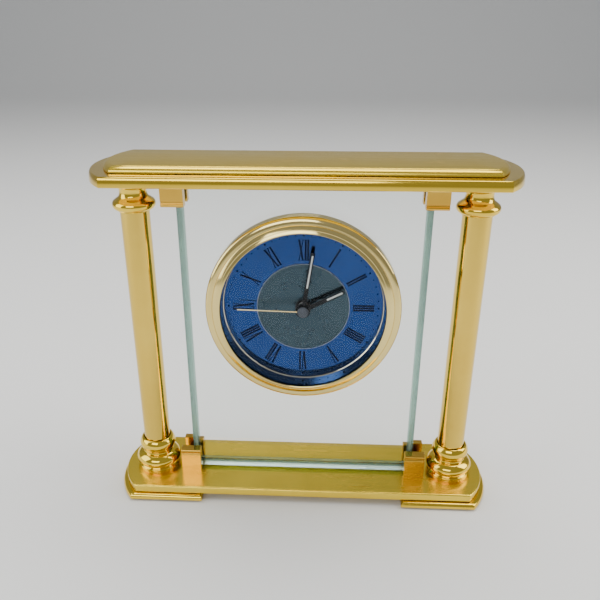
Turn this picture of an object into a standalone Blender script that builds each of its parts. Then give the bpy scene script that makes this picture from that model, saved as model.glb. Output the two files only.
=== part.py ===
"""Mantel clock: a moulded brass top stands on two columns over a footed base plate.

A thick glass panel stands between the columns in four corner clips, and a round quartz
insert clock sits in a hole in the glass, held there by a rubber sleeve.

Metres, +Z up, front towards -Y. The origin is on the ground, at the middle of the footprint.
The insert clock is built about its own axis: there, +Z points forward, out of the dial.
"""

import math

import bmesh
import bpy
from mathutils import Matrix, Vector

# ---------------------------------------------------------------- driving dimensions

GAP = 0.0003                    # between pieces that touch on the real clock

# base: a bowed plate on two end feet
PLATE_HALF_LENGTH = 0.0884      # middle to the corner where the bowed end starts
PLATE_HALF_DEPTH = 0.0230
PLATE_BOW = 0.0090              # how far an end bulges past its corners
PLATE_THICK = 0.0042
PLATE_CHAMFER = 0.0005
FOOT_PROUD = 0.0024             # how far a foot stands out past the plate
FOOT_RUN = 0.0382               # from a foot's corner to its inner end
FOOT_THICK = 0.0028
FOOT_ROUND = 0.0016
FELT_THICK = 0.0006
FELT_INSET = 0.0030

# top: two moulded tiers
TOP_OVERHANG_X = -0.0010        # lower tier's corner past the base plate's corner
TOP_HALF_DEPTH = 0.0270
TOP_BOW = 0.0103
LOWER_TIER_THICK = 0.0048
LOWER_TIER_ROUND = 0.0012
TIER_STEP = 0.0066              # width of the ledge around the upper tier
UPPER_TIER_THICK = 0.0027
UPPER_TIER_ROUND = 0.0021

# columns
COLUMN_INSET = 0.0084           # from the plate's corner to the column's axis
COLUMN_HEIGHT = 0.16090         # from the base plate to the lower tier
TUBE_RADIUS = 0.00695
TUBE_WALL = 0.0010
CAPITAL_HEIGHT = 0.01675
SOCKET_DEPTH = 0.0055           # how far a tube goes into its turnings
SOCKET_WALL = 0.0009
ROD_RADIUS = 0.0019
ROD_CLEARANCE = 0.0004
ROD_ENTRY = 0.0014              # how far a rod goes into the upper tier
NUT_RADIUS = 0.0038
NUT_THICK = 0.0014
WASHER_RADIUS = 0.0044
WASHER_THICK = 0.0004
NUT_POCKET_RADIUS = 0.0050

# glass and clips
COLUMN_TO_GLASS = 0.0205        # from a column's axis to the glass
GLASS_THICK = 0.0070
GLASS_BEVEL_WIDTH = 0.0027
GLASS_BEVEL_DEPTH = 0.0011
CLIP_GRIP = 0.0045              # how much of the glass a clip covers
CLIP_OUTSIDE = 0.0062           # how far a clip reaches past the glass
CLIP_HEIGHT = 0.0133
CLIP_FRONT_CHEEK = 0.0048
CLIP_REAR_CHEEK = 0.0038
CLIP_FLOOR = 0.0010             # the floor is let into the plate by its own thickness
CLIP_BEAD = 0.0020
CLIP_GROOVE = 0.0011
CLIP_GROOVE_DEPTH = 0.0005
CLIP_CORNER = 0.0010
SCREW_RADIUS = 0.0013
SCREW_HEAD_RADIUS = 0.0025
SCREW_HEAD_THICK = 0.0013
SCREW_LENGTH = 0.0105           # how far a screw goes into its clip

# insert clock
DIAL_DROP = 0.06350             # from the lower tier down to the dial's axis
CASE_RADIUS = 0.0416
CASE_WALL = 0.0008
CASE_BACK_THICK = 0.0014
SLEEVE_THICK = 0.0010
BEZEL_OVERHANG = 0.0058         # the bezel's radius past the case's
BEZEL_EDGE_DEPTH = 0.0056       # from the glass to the bezel's widest edge
BEZEL_DEPTH = 0.0094            # from the glass to the bezel's front lip
BEZEL_RING = 0.0036             # width of the convex outer ring
BEZEL_RING_RISE = 0.0020        # from the widest edge to the top of that ring
BEZEL_LIP = 0.0006
DIAL_OPENING_INSET = 0.0016     # the lip's radius inside the case's
REFLECTOR_TAPER = 0.0008
CRYSTAL_THICK = 0.0008
CRYSTAL_TO_DIAL = 0.0071
DIAL_THICK = 0.0006
CENTRE_DISC_RADIUS = 0.0226
CENTRE_DISC_THICK = 0.0003
DIAL_HOLE_RADIUS = 0.0039

# hands: each is an arbor radius, a height above the dial, a length and an angle past XII
HAND_THICK = 0.0004
SECOND_ARBOR_RADIUS = 0.00045
PIPE_WALL = 0.0006
ARBOR_CLEARANCE = 0.0003
BOSS_RADIUS = 0.0036            # round boss at the foot of the hour and minute hands
HOUR_HAND_LENGTH = 0.0222
HOUR_HAND_WIDTH = 0.0023
HOUR_HAND_HEIGHT = 0.0037
HOUR_HAND_ANGLE = 63.0
MINUTE_HAND_LENGTH = 0.0302
MINUTE_HAND_WIDTH = 0.0020
MINUTE_HAND_HEIGHT = 0.0047
MINUTE_HAND_ANGLE = 8.8
SECOND_HAND_LENGTH = 0.0318
SECOND_HAND_TAIL = 0.0022
SECOND_HAND_WIDTH = 0.0005
SECOND_HAND_HEIGHT = 0.0057
SECOND_HAND_ANGLE = 271.4
CAP_RADIUS = 0.0028
CAP_THICK = 0.0004

# quartz movement
MOVEMENT_SIDE = 0.0480
MOVEMENT_CORNER = 0.0030
MOVEMENT_WALL = 0.0012
MOVEMENT_DEPTH = 0.0165
TRAIN_FLOOR = -0.0080           # lower wall of the wheel chamber, from the dial's axis
WHEEL_THICK = 0.0007
LEVEL_STEP = 0.0010             # from one wheel's front face to the next wheel's
CENTRE_PINION = 0.00225
MOTION_RATIO = 3.0
HOUR_WHEEL_RATIO = 4.0
THIRD_PINION = 0.00095
CENTRE_WHEEL_RATIO = 8.0
THIRD_WHEEL_RATIO = 7.5
FIFTH_PINION = 0.0011
SECOND_WHEEL_RATIO = 5.0
ROTOR_PINION = 0.0008
FIFTH_WHEEL_RATIO = 6.0
MOTION_ANGLE = 10.0
THIRD_ANGLE = 150.0
FIFTH_ANGLE = 60.0
ROTOR_ANGLE = 30.0
STAFF_RADIUS = 0.0004
ROTOR_RADIUS = 0.0026
ROTOR_THICK = 0.0020
STATOR_HALF_LENGTH = 0.0125
STATOR_HALF_WIDTH = 0.0040
STATOR_THICK = 0.0012
COIL_RADIUS = 0.0028
COIL_LENGTH = 0.0180
COIL_FLANGE = 0.0005
BOARD_THICK = 0.0008
BOARD_HALF_LENGTH = 0.0200
QUARTZ_RADIUS = 0.0010
QUARTZ_LENGTH = 0.0060
COVER_THICK = 0.0012
BATTERY_RADIUS = 0.0060
BATTERY_LENGTH = 0.0292
BATTERY_NUB_RADIUS = 0.0020
BATTERY_NUB_LENGTH = 0.0010
BAY_CLEARANCE = 0.0006
CONTACT_THICK = 0.0004
CONTACT_SPRING = 0.0012
KNOB_STEM_RADIUS = 0.0012
KNOB_RADIUS = 0.0070
KNOB_THICK = 0.0040
KNOB_FLUTES = 12

FINE = 56                       # facets around the large rings
MEDIUM = 28                     # facets around the columns' turnings
COARSE = 16                     # facets around arbors and screws
END_ARC = 10                    # facets along a plate's bowed end

# ---------------------------------------------------------------- places worked out from them

FOOT_BOTTOM = FELT_THICK + GAP
PLATE_BOTTOM = FOOT_BOTTOM + FOOT_THICK + GAP
PLATE_TOP = PLATE_BOTTOM + PLATE_THICK
TIER_BOTTOM = PLATE_TOP + COLUMN_HEIGHT
TIER_TOP = TIER_BOTTOM + LOWER_TIER_THICK
UPPER_BOTTOM = TIER_TOP + GAP
UPPER_TOP = UPPER_BOTTOM + UPPER_TIER_THICK
COLUMN_X = PLATE_HALF_LENGTH - COLUMN_INSET
GLASS_HALF_WIDTH = COLUMN_X - COLUMN_TO_GLASS
GLASS_HALF_THICK = GLASS_THICK / 2
SLOT_HALF = GLASS_HALF_THICK + GAP
CLIP_FRONT = -(SLOT_HALF + CLIP_FRONT_CHEEK)
CLIP_BACK = SLOT_HALF + CLIP_REAR_CHEEK
SCREW_Y = -(SLOT_HALF + CLIP_FRONT_CHEEK / 2)
DIAL_Z = TIER_BOTTOM - DIAL_DROP
HOLE_RADIUS = CASE_RADIUS + GAP + SLEEVE_THICK + GAP
ROD_BORE = ROD_RADIUS + ROD_CLEARANCE

# forward distances from the middle of the glass, along the dial's axis
BEZEL_BACK = GLASS_HALF_THICK + GAP
BEZEL_EDGE = BEZEL_BACK + BEZEL_EDGE_DEPTH
BEZEL_CREST = BEZEL_BACK + BEZEL_DEPTH
LIP_BACK = BEZEL_CREST - BEZEL_LIP
CRYSTAL_FRONT = LIP_BACK - GAP
CRYSTAL_BACK = CRYSTAL_FRONT - CRYSTAL_THICK
CASE_FRONT = CRYSTAL_BACK - GAP
DIAL_FRONT = CRYSTAL_BACK - CRYSTAL_TO_DIAL
DIAL_BACK = DIAL_FRONT - DIAL_THICK
CASE_BORE = CASE_RADIUS - CASE_WALL
DIAL_RADIUS = CASE_BORE - GAP
OPENING_RADIUS = CASE_RADIUS - DIAL_OPENING_INSET
MOVEMENT_FRONT = DIAL_BACK - GAP
MOVEMENT_BACK = MOVEMENT_FRONT - MOVEMENT_DEPTH
CHAMBER_FLOOR = MOVEMENT_FRONT - MOVEMENT_WALL
BACK_INNER = MOVEMENT_BACK - 2 * GAP
BACK_OUTER = BACK_INNER - CASE_BACK_THICK
BAY_HEIGHT = 2 * (BATTERY_RADIUS + BAY_CLEARANCE)
BAY_TOP = TRAIN_FLOOR - MOVEMENT_WALL
BATTERY_Y = BAY_TOP - BAY_HEIGHT / 2
BAY_HALF_LENGTH = BATTERY_LENGTH / 2 + CONTACT_THICK + CONTACT_SPRING + 3 * GAP
MINUTE_BORE = SECOND_ARBOR_RADIUS + ARBOR_CLEARANCE
MINUTE_PIPE = MINUTE_BORE + PIPE_WALL
HOUR_BORE = MINUTE_PIPE + ARBOR_CLEARANCE
HOUR_PIPE = HOUR_BORE + PIPE_WALL
BUSH_BORE = HOUR_PIPE + ARBOR_CLEARANCE


def level(number):
    """Front face of the wheels on one level of the train, counted from the front."""
    return CHAMBER_FLOOR - 0.0004 - number * LEVEL_STEP


def staff_place(reach, angle, start=(0, 0)):
    """Where a staff stands: a distance and a direction in degrees from another staff."""
    turn = math.radians(angle)
    return (start[0] + reach * math.cos(turn), start[1] + reach * math.sin(turn), 0)


MOTION_PLACE = staff_place(CENTRE_PINION * (1 + MOTION_RATIO) + GAP, MOTION_ANGLE)


# ---------------------------------------------------------------- scene and finishes

def clear_scene():
    for thing in list(bpy.data.objects):
        bpy.data.objects.remove(thing, do_unlink=True)


def new_collection(name):
    group = bpy.data.collections.new(name)
    bpy.context.scene.collection.children.link(group)
    return group


def finish(name, colour, roughness, metallic, alpha=1.0):
    """A Principled material in one plain colour."""
    made = bpy.data.materials.new(name)
    made.use_nodes = True
    shader = made.node_tree.nodes["Principled BSDF"]
    shader.inputs["Base Color"].default_value = (*colour, 1.0)
    shader.inputs["Roughness"].default_value = roughness
    shader.inputs["Metallic"].default_value = metallic
    shader.inputs["Alpha"].default_value = alpha
    made.diffuse_color = (*colour, alpha)
    return made


clear_scene()
CLOCK = new_collection("mantel_clock")
CUTTERS = new_collection("cutters")

POLISHED = finish("polished_brass", (0.80, 0.58, 0.23), 0.10, 1.0)
SATIN = finish("satin_brass", (0.78, 0.58, 0.26), 0.32, 1.0)
TUBE_BRASS = finish("tube_brass", (0.74, 0.55, 0.25), 0.08, 1.0)
CLEAR = finish("clear_glass", (0.80, 0.90, 0.86), 0.03, 0.0, 0.35)
LENS = finish("lens_glass", (0.92, 0.96, 0.95), 0.03, 0.0, 0.25)
SILVER = finish("dial_silver", (0.42, 0.50, 0.66), 0.30, 1.0)
CHAMPAGNE = finish("dial_champagne", (0.62, 0.58, 0.46), 0.28, 1.0)
BLACK_PAINT = finish("black_paint", (0.02, 0.02, 0.02), 0.35, 0.0)
GREY_PAINT = finish("grey_paint", (0.10, 0.10, 0.11), 0.30, 0.5)
GILT = finish("gilt", (0.83, 0.63, 0.28), 0.18, 1.0)
BLACK_PLASTIC = finish("black_plastic", (0.03, 0.03, 0.03), 0.55, 0.0)
WHITE_PLASTIC = finish("white_plastic", (0.80, 0.79, 0.74), 0.50, 0.0)
RUBBER = finish("rubber", (0.05, 0.05, 0.05), 0.80, 0.0)
FELT = finish("felt", (0.05, 0.16, 0.09), 0.95, 0.0)
STEEL = finish("steel", (0.60, 0.60, 0.62), 0.30, 1.0)
COPPER = finish("copper_wire", (0.72, 0.33, 0.16), 0.30, 1.0)
BOARD = finish("board_green", (0.04, 0.24, 0.12), 0.40, 0.0)
CELL = finish("cell_wrap", (0.10, 0.12, 0.16), 0.35, 0.3)


# ---------------------------------------------------------------- shapes

def add_object(name, mesh, material, group=None, place=(0, 0, 0), parent=None):
    """Link a mesh as a named object, smooth where its faces meet at under 30 degrees."""
    thing = bpy.data.objects.new(name, mesh)
    (group or CLOCK).objects.link(thing)
    if material:
        mesh.materials.append(material)
    thing.location = place
    thing.parent = parent
    mesh.shade_smooth()
    mesh.set_sharp_from_angle(angle=math.radians(30))
    return thing


def turned(name, profile, material, steps=MEDIUM, place=(0, 0, 0), parent=None):
    """Turn (radius, height) points about Z. They run down the outside, then up the bore."""
    mesh = bpy.data.meshes.new(name)
    solid = profile[0][0] == 0
    count = len(profile)
    edges = [(i, i + 1) for i in range(count - 1)]
    if not solid:
        edges.append((count - 1, 0))
    mesh.from_pydata([(radius, 0, height) for radius, height in profile], edges, [])
    thing = add_object(name, mesh, material, place=place, parent=parent)
    screw = thing.modifiers.new("Turn", "SCREW")
    screw.axis = "Z"
    screw.angle = math.tau
    screw.steps = steps
    screw.render_steps = steps
    screw.use_merge_vertices = True
    screw.merge_threshold = 0.00001
    screw.use_smooth_shade = True
    return thing


def disc(radius, front, back, bore=0.0):
    """Profile of a flat round piece, with or without a hole."""
    if bore:
        return [(bore, front), (radius, front), (radius, back), (bore, back)]
    return [(0, front), (radius, front), (radius, back), (0, back)]


def arc_points(centre, radius, start, end, count):
    """Points on a circle's arc in a profile, with angles in degrees."""
    step = (end - start) / count
    angles = [math.radians(start + step * i) for i in range(count + 1)]
    return [(centre[0] + radius * math.cos(a), centre[1] + radius * math.sin(a)) for a in angles]


def bowed_end(half_length, half_depth, bow, side):
    """Corner-to-corner arc of one end, from the front for the right end (side 1)."""
    radius = (half_depth ** 2 + bow ** 2) / (2 * bow)
    centre = half_length + bow - radius
    reach = math.asin(half_depth / radius)
    angles = [reach * (2 * i / END_ARC - 1) for i in range(END_ARC + 1)]
    return [(side * (centre + radius * math.cos(a)), side * radius * math.sin(a)) for a in angles]


def plate_outline(half_length, half_depth, bow):
    """Plan of a plate with straight long sides and bowed ends, anticlockwise."""
    return bowed_end(half_length, half_depth, bow, 1) + bowed_end(half_length, half_depth, bow, -1)


def foot_outline(half_length, half_depth, bow, inner, side):
    """Plan of one end of a plate, cut off square at its inner end."""
    points = bowed_end(half_length, half_depth, bow, side)
    return points + [(side * inner, side * half_depth), (side * inner, -side * half_depth)]


def slab(name, outline, bottom, top, material, top_round=0.0, segments=1, parent=None, group=None):
    """A plan outline raised into a plate whose top edge may be chamfered or rounded."""
    work = bmesh.new()
    face = work.faces.new([work.verts.new((x, y, bottom)) for x, y in outline])
    raised = bmesh.ops.extrude_face_region(work, geom=[face])
    upper = [v for v in raised["geom"] if isinstance(v, bmesh.types.BMVert)]
    bmesh.ops.translate(work, verts=upper, vec=(0, 0, top - bottom))
    bmesh.ops.recalc_face_normals(work, faces=work.faces)
    weights = work.edges.layers.float.new("bevel_weight_edge")
    for edge in work.edges:
        if all(abs(v.co.z - top) < 1e-7 for v in edge.verts):
            edge[weights] = 1.0
    mesh = bpy.data.meshes.new(name)
    work.to_mesh(mesh)
    work.free()
    thing = add_object(name, mesh, material, group=group, parent=parent)
    if top_round:
        bevel = thing.modifiers.new("Edge", "BEVEL")
        bevel.limit_method = "WEIGHT"
        bevel.width = top_round
        bevel.segments = segments
    return thing


def box(name, low, high, material=None, parent=None, group=None, bevel=0.0):
    """A box between two corners."""
    low, high = Vector(low), Vector(high)
    work = bmesh.new()
    bmesh.ops.create_cube(work, size=1.0)
    bmesh.ops.scale(work, vec=high - low, verts=work.verts)
    bmesh.ops.translate(work, vec=(low + high) / 2, verts=work.verts)
    mesh = bpy.data.meshes.new(name)
    work.to_mesh(mesh)
    work.free()
    thing = add_object(name, mesh, material, group=group, parent=parent)
    if bevel:
        edge = thing.modifiers.new("Edge", "BEVEL")
        edge.width = bevel
        edge.segments = 2
    return thing


def rod(name, radius, low, high, steps=COARSE, material=None, parent=None, group=None):
    """A plain cylinder along Z between two points on its axis."""
    low, high = Vector(low), Vector(high)
    work = bmesh.new()
    bmesh.ops.create_cone(work, cap_ends=True, segments=steps, radius1=radius, radius2=radius,
                          depth=high.z - low.z)
    bmesh.ops.translate(work, vec=(low + high) / 2, verts=work.verts)
    mesh = bpy.data.meshes.new(name)
    work.to_mesh(mesh)
    work.free()
    return add_object(name, mesh, material, group=group, parent=parent)


def as_cutter(thing):
    thing.hide_render = True
    thing.display_type = "WIRE"
    return thing


def hole(name, radius, low, high, steps=COARSE, parent=None):
    return as_cutter(rod(name, radius, low, high, steps, parent=parent, group=CUTTERS))


def pocket(name, low, high, parent=None):
    return as_cutter(box(name, low, high, parent=parent, group=CUTTERS))


def cut(thing, *cutters):
    """Take each cutter out of a piece."""
    for cutter in cutters:
        boolean = thing.modifiers.new(cutter.name, "BOOLEAN")
        boolean.operation = "DIFFERENCE"
        boolean.solver = "EXACT"
        boolean.object = cutter


def join(thing, *pieces):
    """Make a piece one body with others that overlap it. They are kept as guides."""
    for piece in pieces:
        boolean = thing.modifiers.new(piece.name, "BOOLEAN")
        boolean.operation = "UNION"
        boolean.solver = "EXACT"
        boolean.object = as_cutter(piece)


# ---------------------------------------------------------------- base

def make_base():
    """Base plate with its rod holes, clip seats and screw holes, on two end feet with felts."""
    outline = plate_outline(PLATE_HALF_LENGTH, PLATE_HALF_DEPTH, PLATE_BOW)
    plate = slab("base_plate", outline, PLATE_BOTTOM, PLATE_TOP, SATIN, PLATE_CHAMFER)
    foot_corner = PLATE_HALF_LENGTH + FOOT_PROUD
    foot_depth = PLATE_HALF_DEPTH + FOOT_PROUD
    for side, word in ((-1, "left"), (1, "right")):
        x = side * COLUMN_X
        through = hole(f"rod_hole_{word}", ROD_BORE, (x, 0, -0.01), (x, 0, PLATE_TOP + 0.01))
        nut_space = hole(f"nut_space_{word}", NUT_POCKET_RADIUS, (x, 0, -0.01),
                         (x, 0, PLATE_BOTTOM + 0.001), MEDIUM)
        cut(plate, through, clip_seat(f"bottom_{word}", side, PLATE_TOP, 1),
            *screw_hole(f"bottom_{word}", side, PLATE_BOTTOM, 1))
        plan = foot_outline(foot_corner, foot_depth, PLATE_BOW, foot_corner - FOOT_RUN, side)
        foot = slab(f"foot_{word}", plan, FOOT_BOTTOM, FOOT_BOTTOM + FOOT_THICK, POLISHED,
                    FOOT_ROUND, 3)
        cut(foot, nut_space)
        inner = foot_corner - FOOT_RUN + FELT_INSET
        plan = foot_outline(foot_corner - FELT_INSET, foot_depth - FELT_INSET, PLATE_BOW,
                            inner, side)
        slab(f"felt_{word}", plan, 0, FELT_THICK, FELT)


# ---------------------------------------------------------------- top

def make_top():
    """Lower and upper tiers of the top, each with a rounded edge."""
    corner = PLATE_HALF_LENGTH + TOP_OVERHANG_X
    lower = slab("top_lower_tier", plate_outline(corner, TOP_HALF_DEPTH, TOP_BOW),
                 TIER_BOTTOM, TIER_TOP, POLISHED, LOWER_TIER_ROUND, 3)
    plan = plate_outline(corner - TIER_STEP / 2, TOP_HALF_DEPTH - TIER_STEP, TOP_BOW - TIER_STEP / 2)
    upper = slab("top_upper_tier", plan, UPPER_BOTTOM, UPPER_TOP, SATIN, UPPER_TIER_ROUND, 4)
    for side, word in ((-1, "left"), (1, "right")):
        x = side * COLUMN_X
        through = hole(f"top_rod_hole_{word}", ROD_BORE, (x, 0, TIER_BOTTOM - 0.01),
                       (x, 0, UPPER_BOTTOM + ROD_ENTRY + GAP))
        cut(lower, through, clip_seat(f"top_{word}", side, TIER_BOTTOM, -1),
            *screw_hole(f"top_{word}", side, TIER_TOP, -1))
        cut(upper, through)


# ---------------------------------------------------------------- columns

def make_columns():
    """Base turning, tube, capital, tie rod, washer and nut of each column."""
    socket = TUBE_RADIUS + GAP
    neck = socket + SOCKET_WALL
    foot = PLATE_TOP + GAP
    rim = foot + 0.0174
    base_profile = [
        (socket, rim - 0.0004), (neck, rim), (neck + 0.0009, rim - 0.0008),
        (neck + 0.00130, rim - 0.0022), (neck + 0.00128, rim - 0.0040),
        (neck + 0.00090, rim - 0.0056), (neck + 0.0002, rim - 0.0066),
        (neck - 0.0002, rim - 0.0078), (neck + 0.0002, rim - 0.0090),
        (neck + 0.0020, rim - 0.0104), (neck + 0.0032, rim - 0.0124),
        (neck + 0.0037, rim - 0.0144), (neck + 0.0033, rim - 0.0160),
        (neck + 0.0039, rim - 0.0164), (neck + 0.0039, foot),
        (ROD_BORE, foot), (ROD_BORE, rim - SOCKET_DEPTH), (socket, rim - SOCKET_DEPTH),
    ]
    top = TIER_BOTTOM - GAP
    lip = top - CAPITAL_HEIGHT
    capital_profile = [
        (ROD_BORE, top), (neck + 0.0031, top), (neck + 0.0030, lip + 0.0148),
        (neck + 0.0014, lip + 0.0138), (neck - 0.0006, lip + 0.0124),
        (neck - 0.0008, lip + 0.0112), (neck - 0.0014, lip + 0.0102),
        (neck - 0.0018, lip + 0.0088), (neck - 0.0008, lip + 0.0074),
        (neck + 0.0010, lip + 0.0058), (neck + 0.0017, lip + 0.0042),
        (neck + 0.0012, lip + 0.0026), (neck + 0.0002, lip + 0.0014),
        (neck - 0.0001, lip), (socket, lip),
        (socket, lip + SOCKET_DEPTH), (ROD_BORE, lip + SOCKET_DEPTH),
    ]
    tube_low = rim - SOCKET_DEPTH + GAP
    tube_high = lip + SOCKET_DEPTH - GAP
    washer_top = PLATE_BOTTOM - GAP
    nut_top = washer_top - WASHER_THICK - GAP / 2
    for side, word in ((-1, "left"), (1, "right")):
        x = side * COLUMN_X
        turned(f"column_base_{word}", base_profile, POLISHED, place=(x, 0, 0))
        turned(f"capital_{word}", capital_profile, POLISHED, place=(x, 0, 0))
        turned(f"column_tube_{word}", disc(TUBE_RADIUS, tube_high, tube_low, TUBE_RADIUS - TUBE_WALL),
               TUBE_BRASS, place=(x, 0, 0))
        rod_low = nut_top - NUT_THICK
        turned(f"tie_rod_{word}", disc(ROD_RADIUS, UPPER_BOTTOM + ROD_ENTRY, rod_low), STEEL,
               COARSE, place=(x, 0, 0))
        turned(f"washer_{word}", disc(WASHER_RADIUS, washer_top, washer_top - WASHER_THICK,
                                      ROD_RADIUS + GAP), STEEL, COARSE, place=(x, 0, 0))
        nut = rod(f"tie_nut_{word}", NUT_RADIUS, (x, 0, nut_top - NUT_THICK), (x, 0, nut_top), 6, STEEL)
        cut(nut, hole(f"nut_bore_{word}", ROD_RADIUS + GAP, (x, 0, 0), (x, 0, PLATE_TOP)))


# ---------------------------------------------------------------- clips and glass

def clip_span():
    """Inner and outer ends of a clip, as distances from the clock's middle."""
    return GLASS_HALF_WIDTH - CLIP_GRIP, GLASS_HALF_WIDTH + CLIP_OUTSIDE


def mirrored(side, inner, outer):
    """The low and high X of a stretch between two distances on one side of the clock."""
    return (inner, outer) if side > 0 else (-outer, -inner)


def clip_seat(word, side, face, up):
    """The shallow seat in a plate's face that a clip's floor is let into."""
    inner, outer = clip_span()
    low_x, high_x = mirrored(side, inner - GAP, outer + GAP)
    deep = face - up * (CLIP_FLOOR + GAP)
    past = face + up * 0.002
    low, high = min(deep, past), max(deep, past)
    return pocket(f"clip_seat_{word}", (low_x, CLIP_FRONT - GAP, low),
                  (high_x, CLIP_BACK + GAP, high))


def screw_hole(word, side, head_face, up):
    """Clearance hole and head recess for a clip screw that enters a plate from outside."""
    inner, outer = clip_span()
    x = side * (inner + outer) / 2
    ends = sorted((head_face - up * 0.002, head_face + up * 0.012))
    shank = hole(f"screw_shank_{word}", SCREW_RADIUS + GAP, (x, SCREW_Y, ends[0]),
                 (x, SCREW_Y, ends[1]))
    ends = sorted((head_face - up * 0.002, head_face + up * (SCREW_HEAD_THICK + 2 * GAP)))
    head = hole(f"screw_head_{word}", SCREW_HEAD_RADIUS + GAP, (x, SCREW_Y, ends[0]),
                (x, SCREW_Y, ends[1]))
    return shank, head


def clip_outline(face, up):
    """Side view of a clip: floor in the plate, two cheeks, a bead and groove at each free end."""
    end = CLIP_HEIGHT
    groove = end - CLIP_BEAD - CLIP_GROOVE
    front = [(CLIP_FRONT, -CLIP_FLOOR), (CLIP_FRONT, groove),
             (CLIP_FRONT + CLIP_GROOVE_DEPTH, groove + CLIP_GROOVE / 2),
             (CLIP_FRONT + CLIP_GROOVE_DEPTH, groove + CLIP_GROOVE),
             (CLIP_FRONT, end - CLIP_BEAD * 0.7), (CLIP_FRONT, end - CLIP_BEAD * 0.4),
             (CLIP_FRONT + 0.0006, end), (-SLOT_HALF, end), (-SLOT_HALF, 0.0)]
    back = [(SLOT_HALF, 0.0), (SLOT_HALF, end), (CLIP_BACK - 0.0006, end),
            (CLIP_BACK, end - CLIP_BEAD * 0.4), (CLIP_BACK, end - CLIP_BEAD * 0.7),
            (CLIP_BACK - CLIP_GROOVE_DEPTH, groove + CLIP_GROOVE),
            (CLIP_BACK - CLIP_GROOVE_DEPTH, groove + CLIP_GROOVE / 2),
            (CLIP_BACK, groove), (CLIP_BACK, -CLIP_FLOOR)]
    return [(y, face + up * height) for y, height in front + back]


def make_clip(level_word, side, word, face, up, head_face):
    """One corner clip and the screw that holds it."""
    inner, outer = clip_span()
    low_x, high_x = mirrored(side, inner, outer)
    name = f"clip_{level_word}_{word}"
    work = bmesh.new()
    side_face = work.faces.new([work.verts.new((low_x, y, z)) for y, z in clip_outline(face, up)])
    raised = bmesh.ops.extrude_face_region(work, geom=[side_face])
    moved = [v for v in raised["geom"] if isinstance(v, bmesh.types.BMVert)]
    bmesh.ops.translate(work, verts=moved, vec=(high_x - low_x, 0, 0))
    bmesh.ops.recalc_face_normals(work, faces=work.faces)
    mesh = bpy.data.meshes.new(name)
    work.to_mesh(mesh)
    work.free()
    clip = add_object(name, mesh, POLISHED)
    x = side * (inner + outer) / 2
    tip = face + up * SCREW_LENGTH
    ends = sorted((face - up * 0.01, tip + up * GAP))
    cut(clip, hole(f"screw_bore_{level_word}_{word}", SCREW_RADIUS + GAP,
                   (x, SCREW_Y, ends[0]), (x, SCREW_Y, ends[1])))
    head = head_face + up * GAP
    neck = head + up * SCREW_HEAD_THICK
    profile = [(0, tip), (SCREW_RADIUS, tip), (SCREW_RADIUS, neck), (SCREW_HEAD_RADIUS, neck),
               (SCREW_HEAD_RADIUS, head), (0, head)]
    if up < 0:
        profile.reverse()
    turned(f"clip_screw_{level_word}_{word}", profile, STEEL, COARSE, place=(x, SCREW_Y, 0))


def make_glass():
    """The panel: bevelled along every edge, with the hole that takes the insert clock."""
    low = (-GLASS_HALF_WIDTH, -GLASS_HALF_THICK, PLATE_TOP + GAP)
    high = (GLASS_HALF_WIDTH, GLASS_HALF_THICK, TIER_BOTTOM - GAP)
    panel = box("glass_panel", low, high, CLEAR)
    work = bmesh.new()
    work.from_mesh(panel.data)
    for direction in (-1, 1):
        work.faces.ensure_lookup_table()
        face = max(work.faces, key=lambda f: f.normal.y * direction)
        rim = list(face.verts)
        bmesh.ops.inset_region(work, faces=[face], thickness=GLASS_BEVEL_WIDTH, depth=0)
        bmesh.ops.translate(work, verts=rim, vec=(0, -direction * GLASS_BEVEL_DEPTH, 0))
    work.to_mesh(panel.data)
    work.free()
    cutter = hole("insert_hole", HOLE_RADIUS, (0, 0, -0.02), (0, 0, 0.02), FINE)
    cutter.matrix_world = Matrix.Translation((0, 0, DIAL_Z)) @ Matrix.Rotation(math.pi / 2, 4, "X")
    cut(panel, cutter)


def make_clips():
    for side, word in ((-1, "left"), (1, "right")):
        make_clip("bottom", side, word, PLATE_TOP, 1, PLATE_BOTTOM)
        make_clip("top", side, word, TIER_BOTTOM, -1, TIER_TOP)


# ---------------------------------------------------------------- insert clock: case and dial

def new_axis(name):
    """The empty on the dial's axis that carries the insert clock, its +Z pointing forward."""
    empty = bpy.data.objects.new(name, None)
    CLOCK.objects.link(empty)
    empty.location = (0, 0, DIAL_Z)
    empty.rotation_euler = (math.pi / 2, 0, 0)
    bpy.context.view_layer.update()
    return empty


def stem_hole(name, axis):
    """Clearance for the setting knob's stem, on the motion wheel's axis."""
    x, y, _ = MOTION_PLACE
    return hole(name, KNOB_STEM_RADIUS + GAP, (x, y, BACK_OUTER - 0.01), (x, y, CHAMBER_FLOOR),
                parent=axis)


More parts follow.
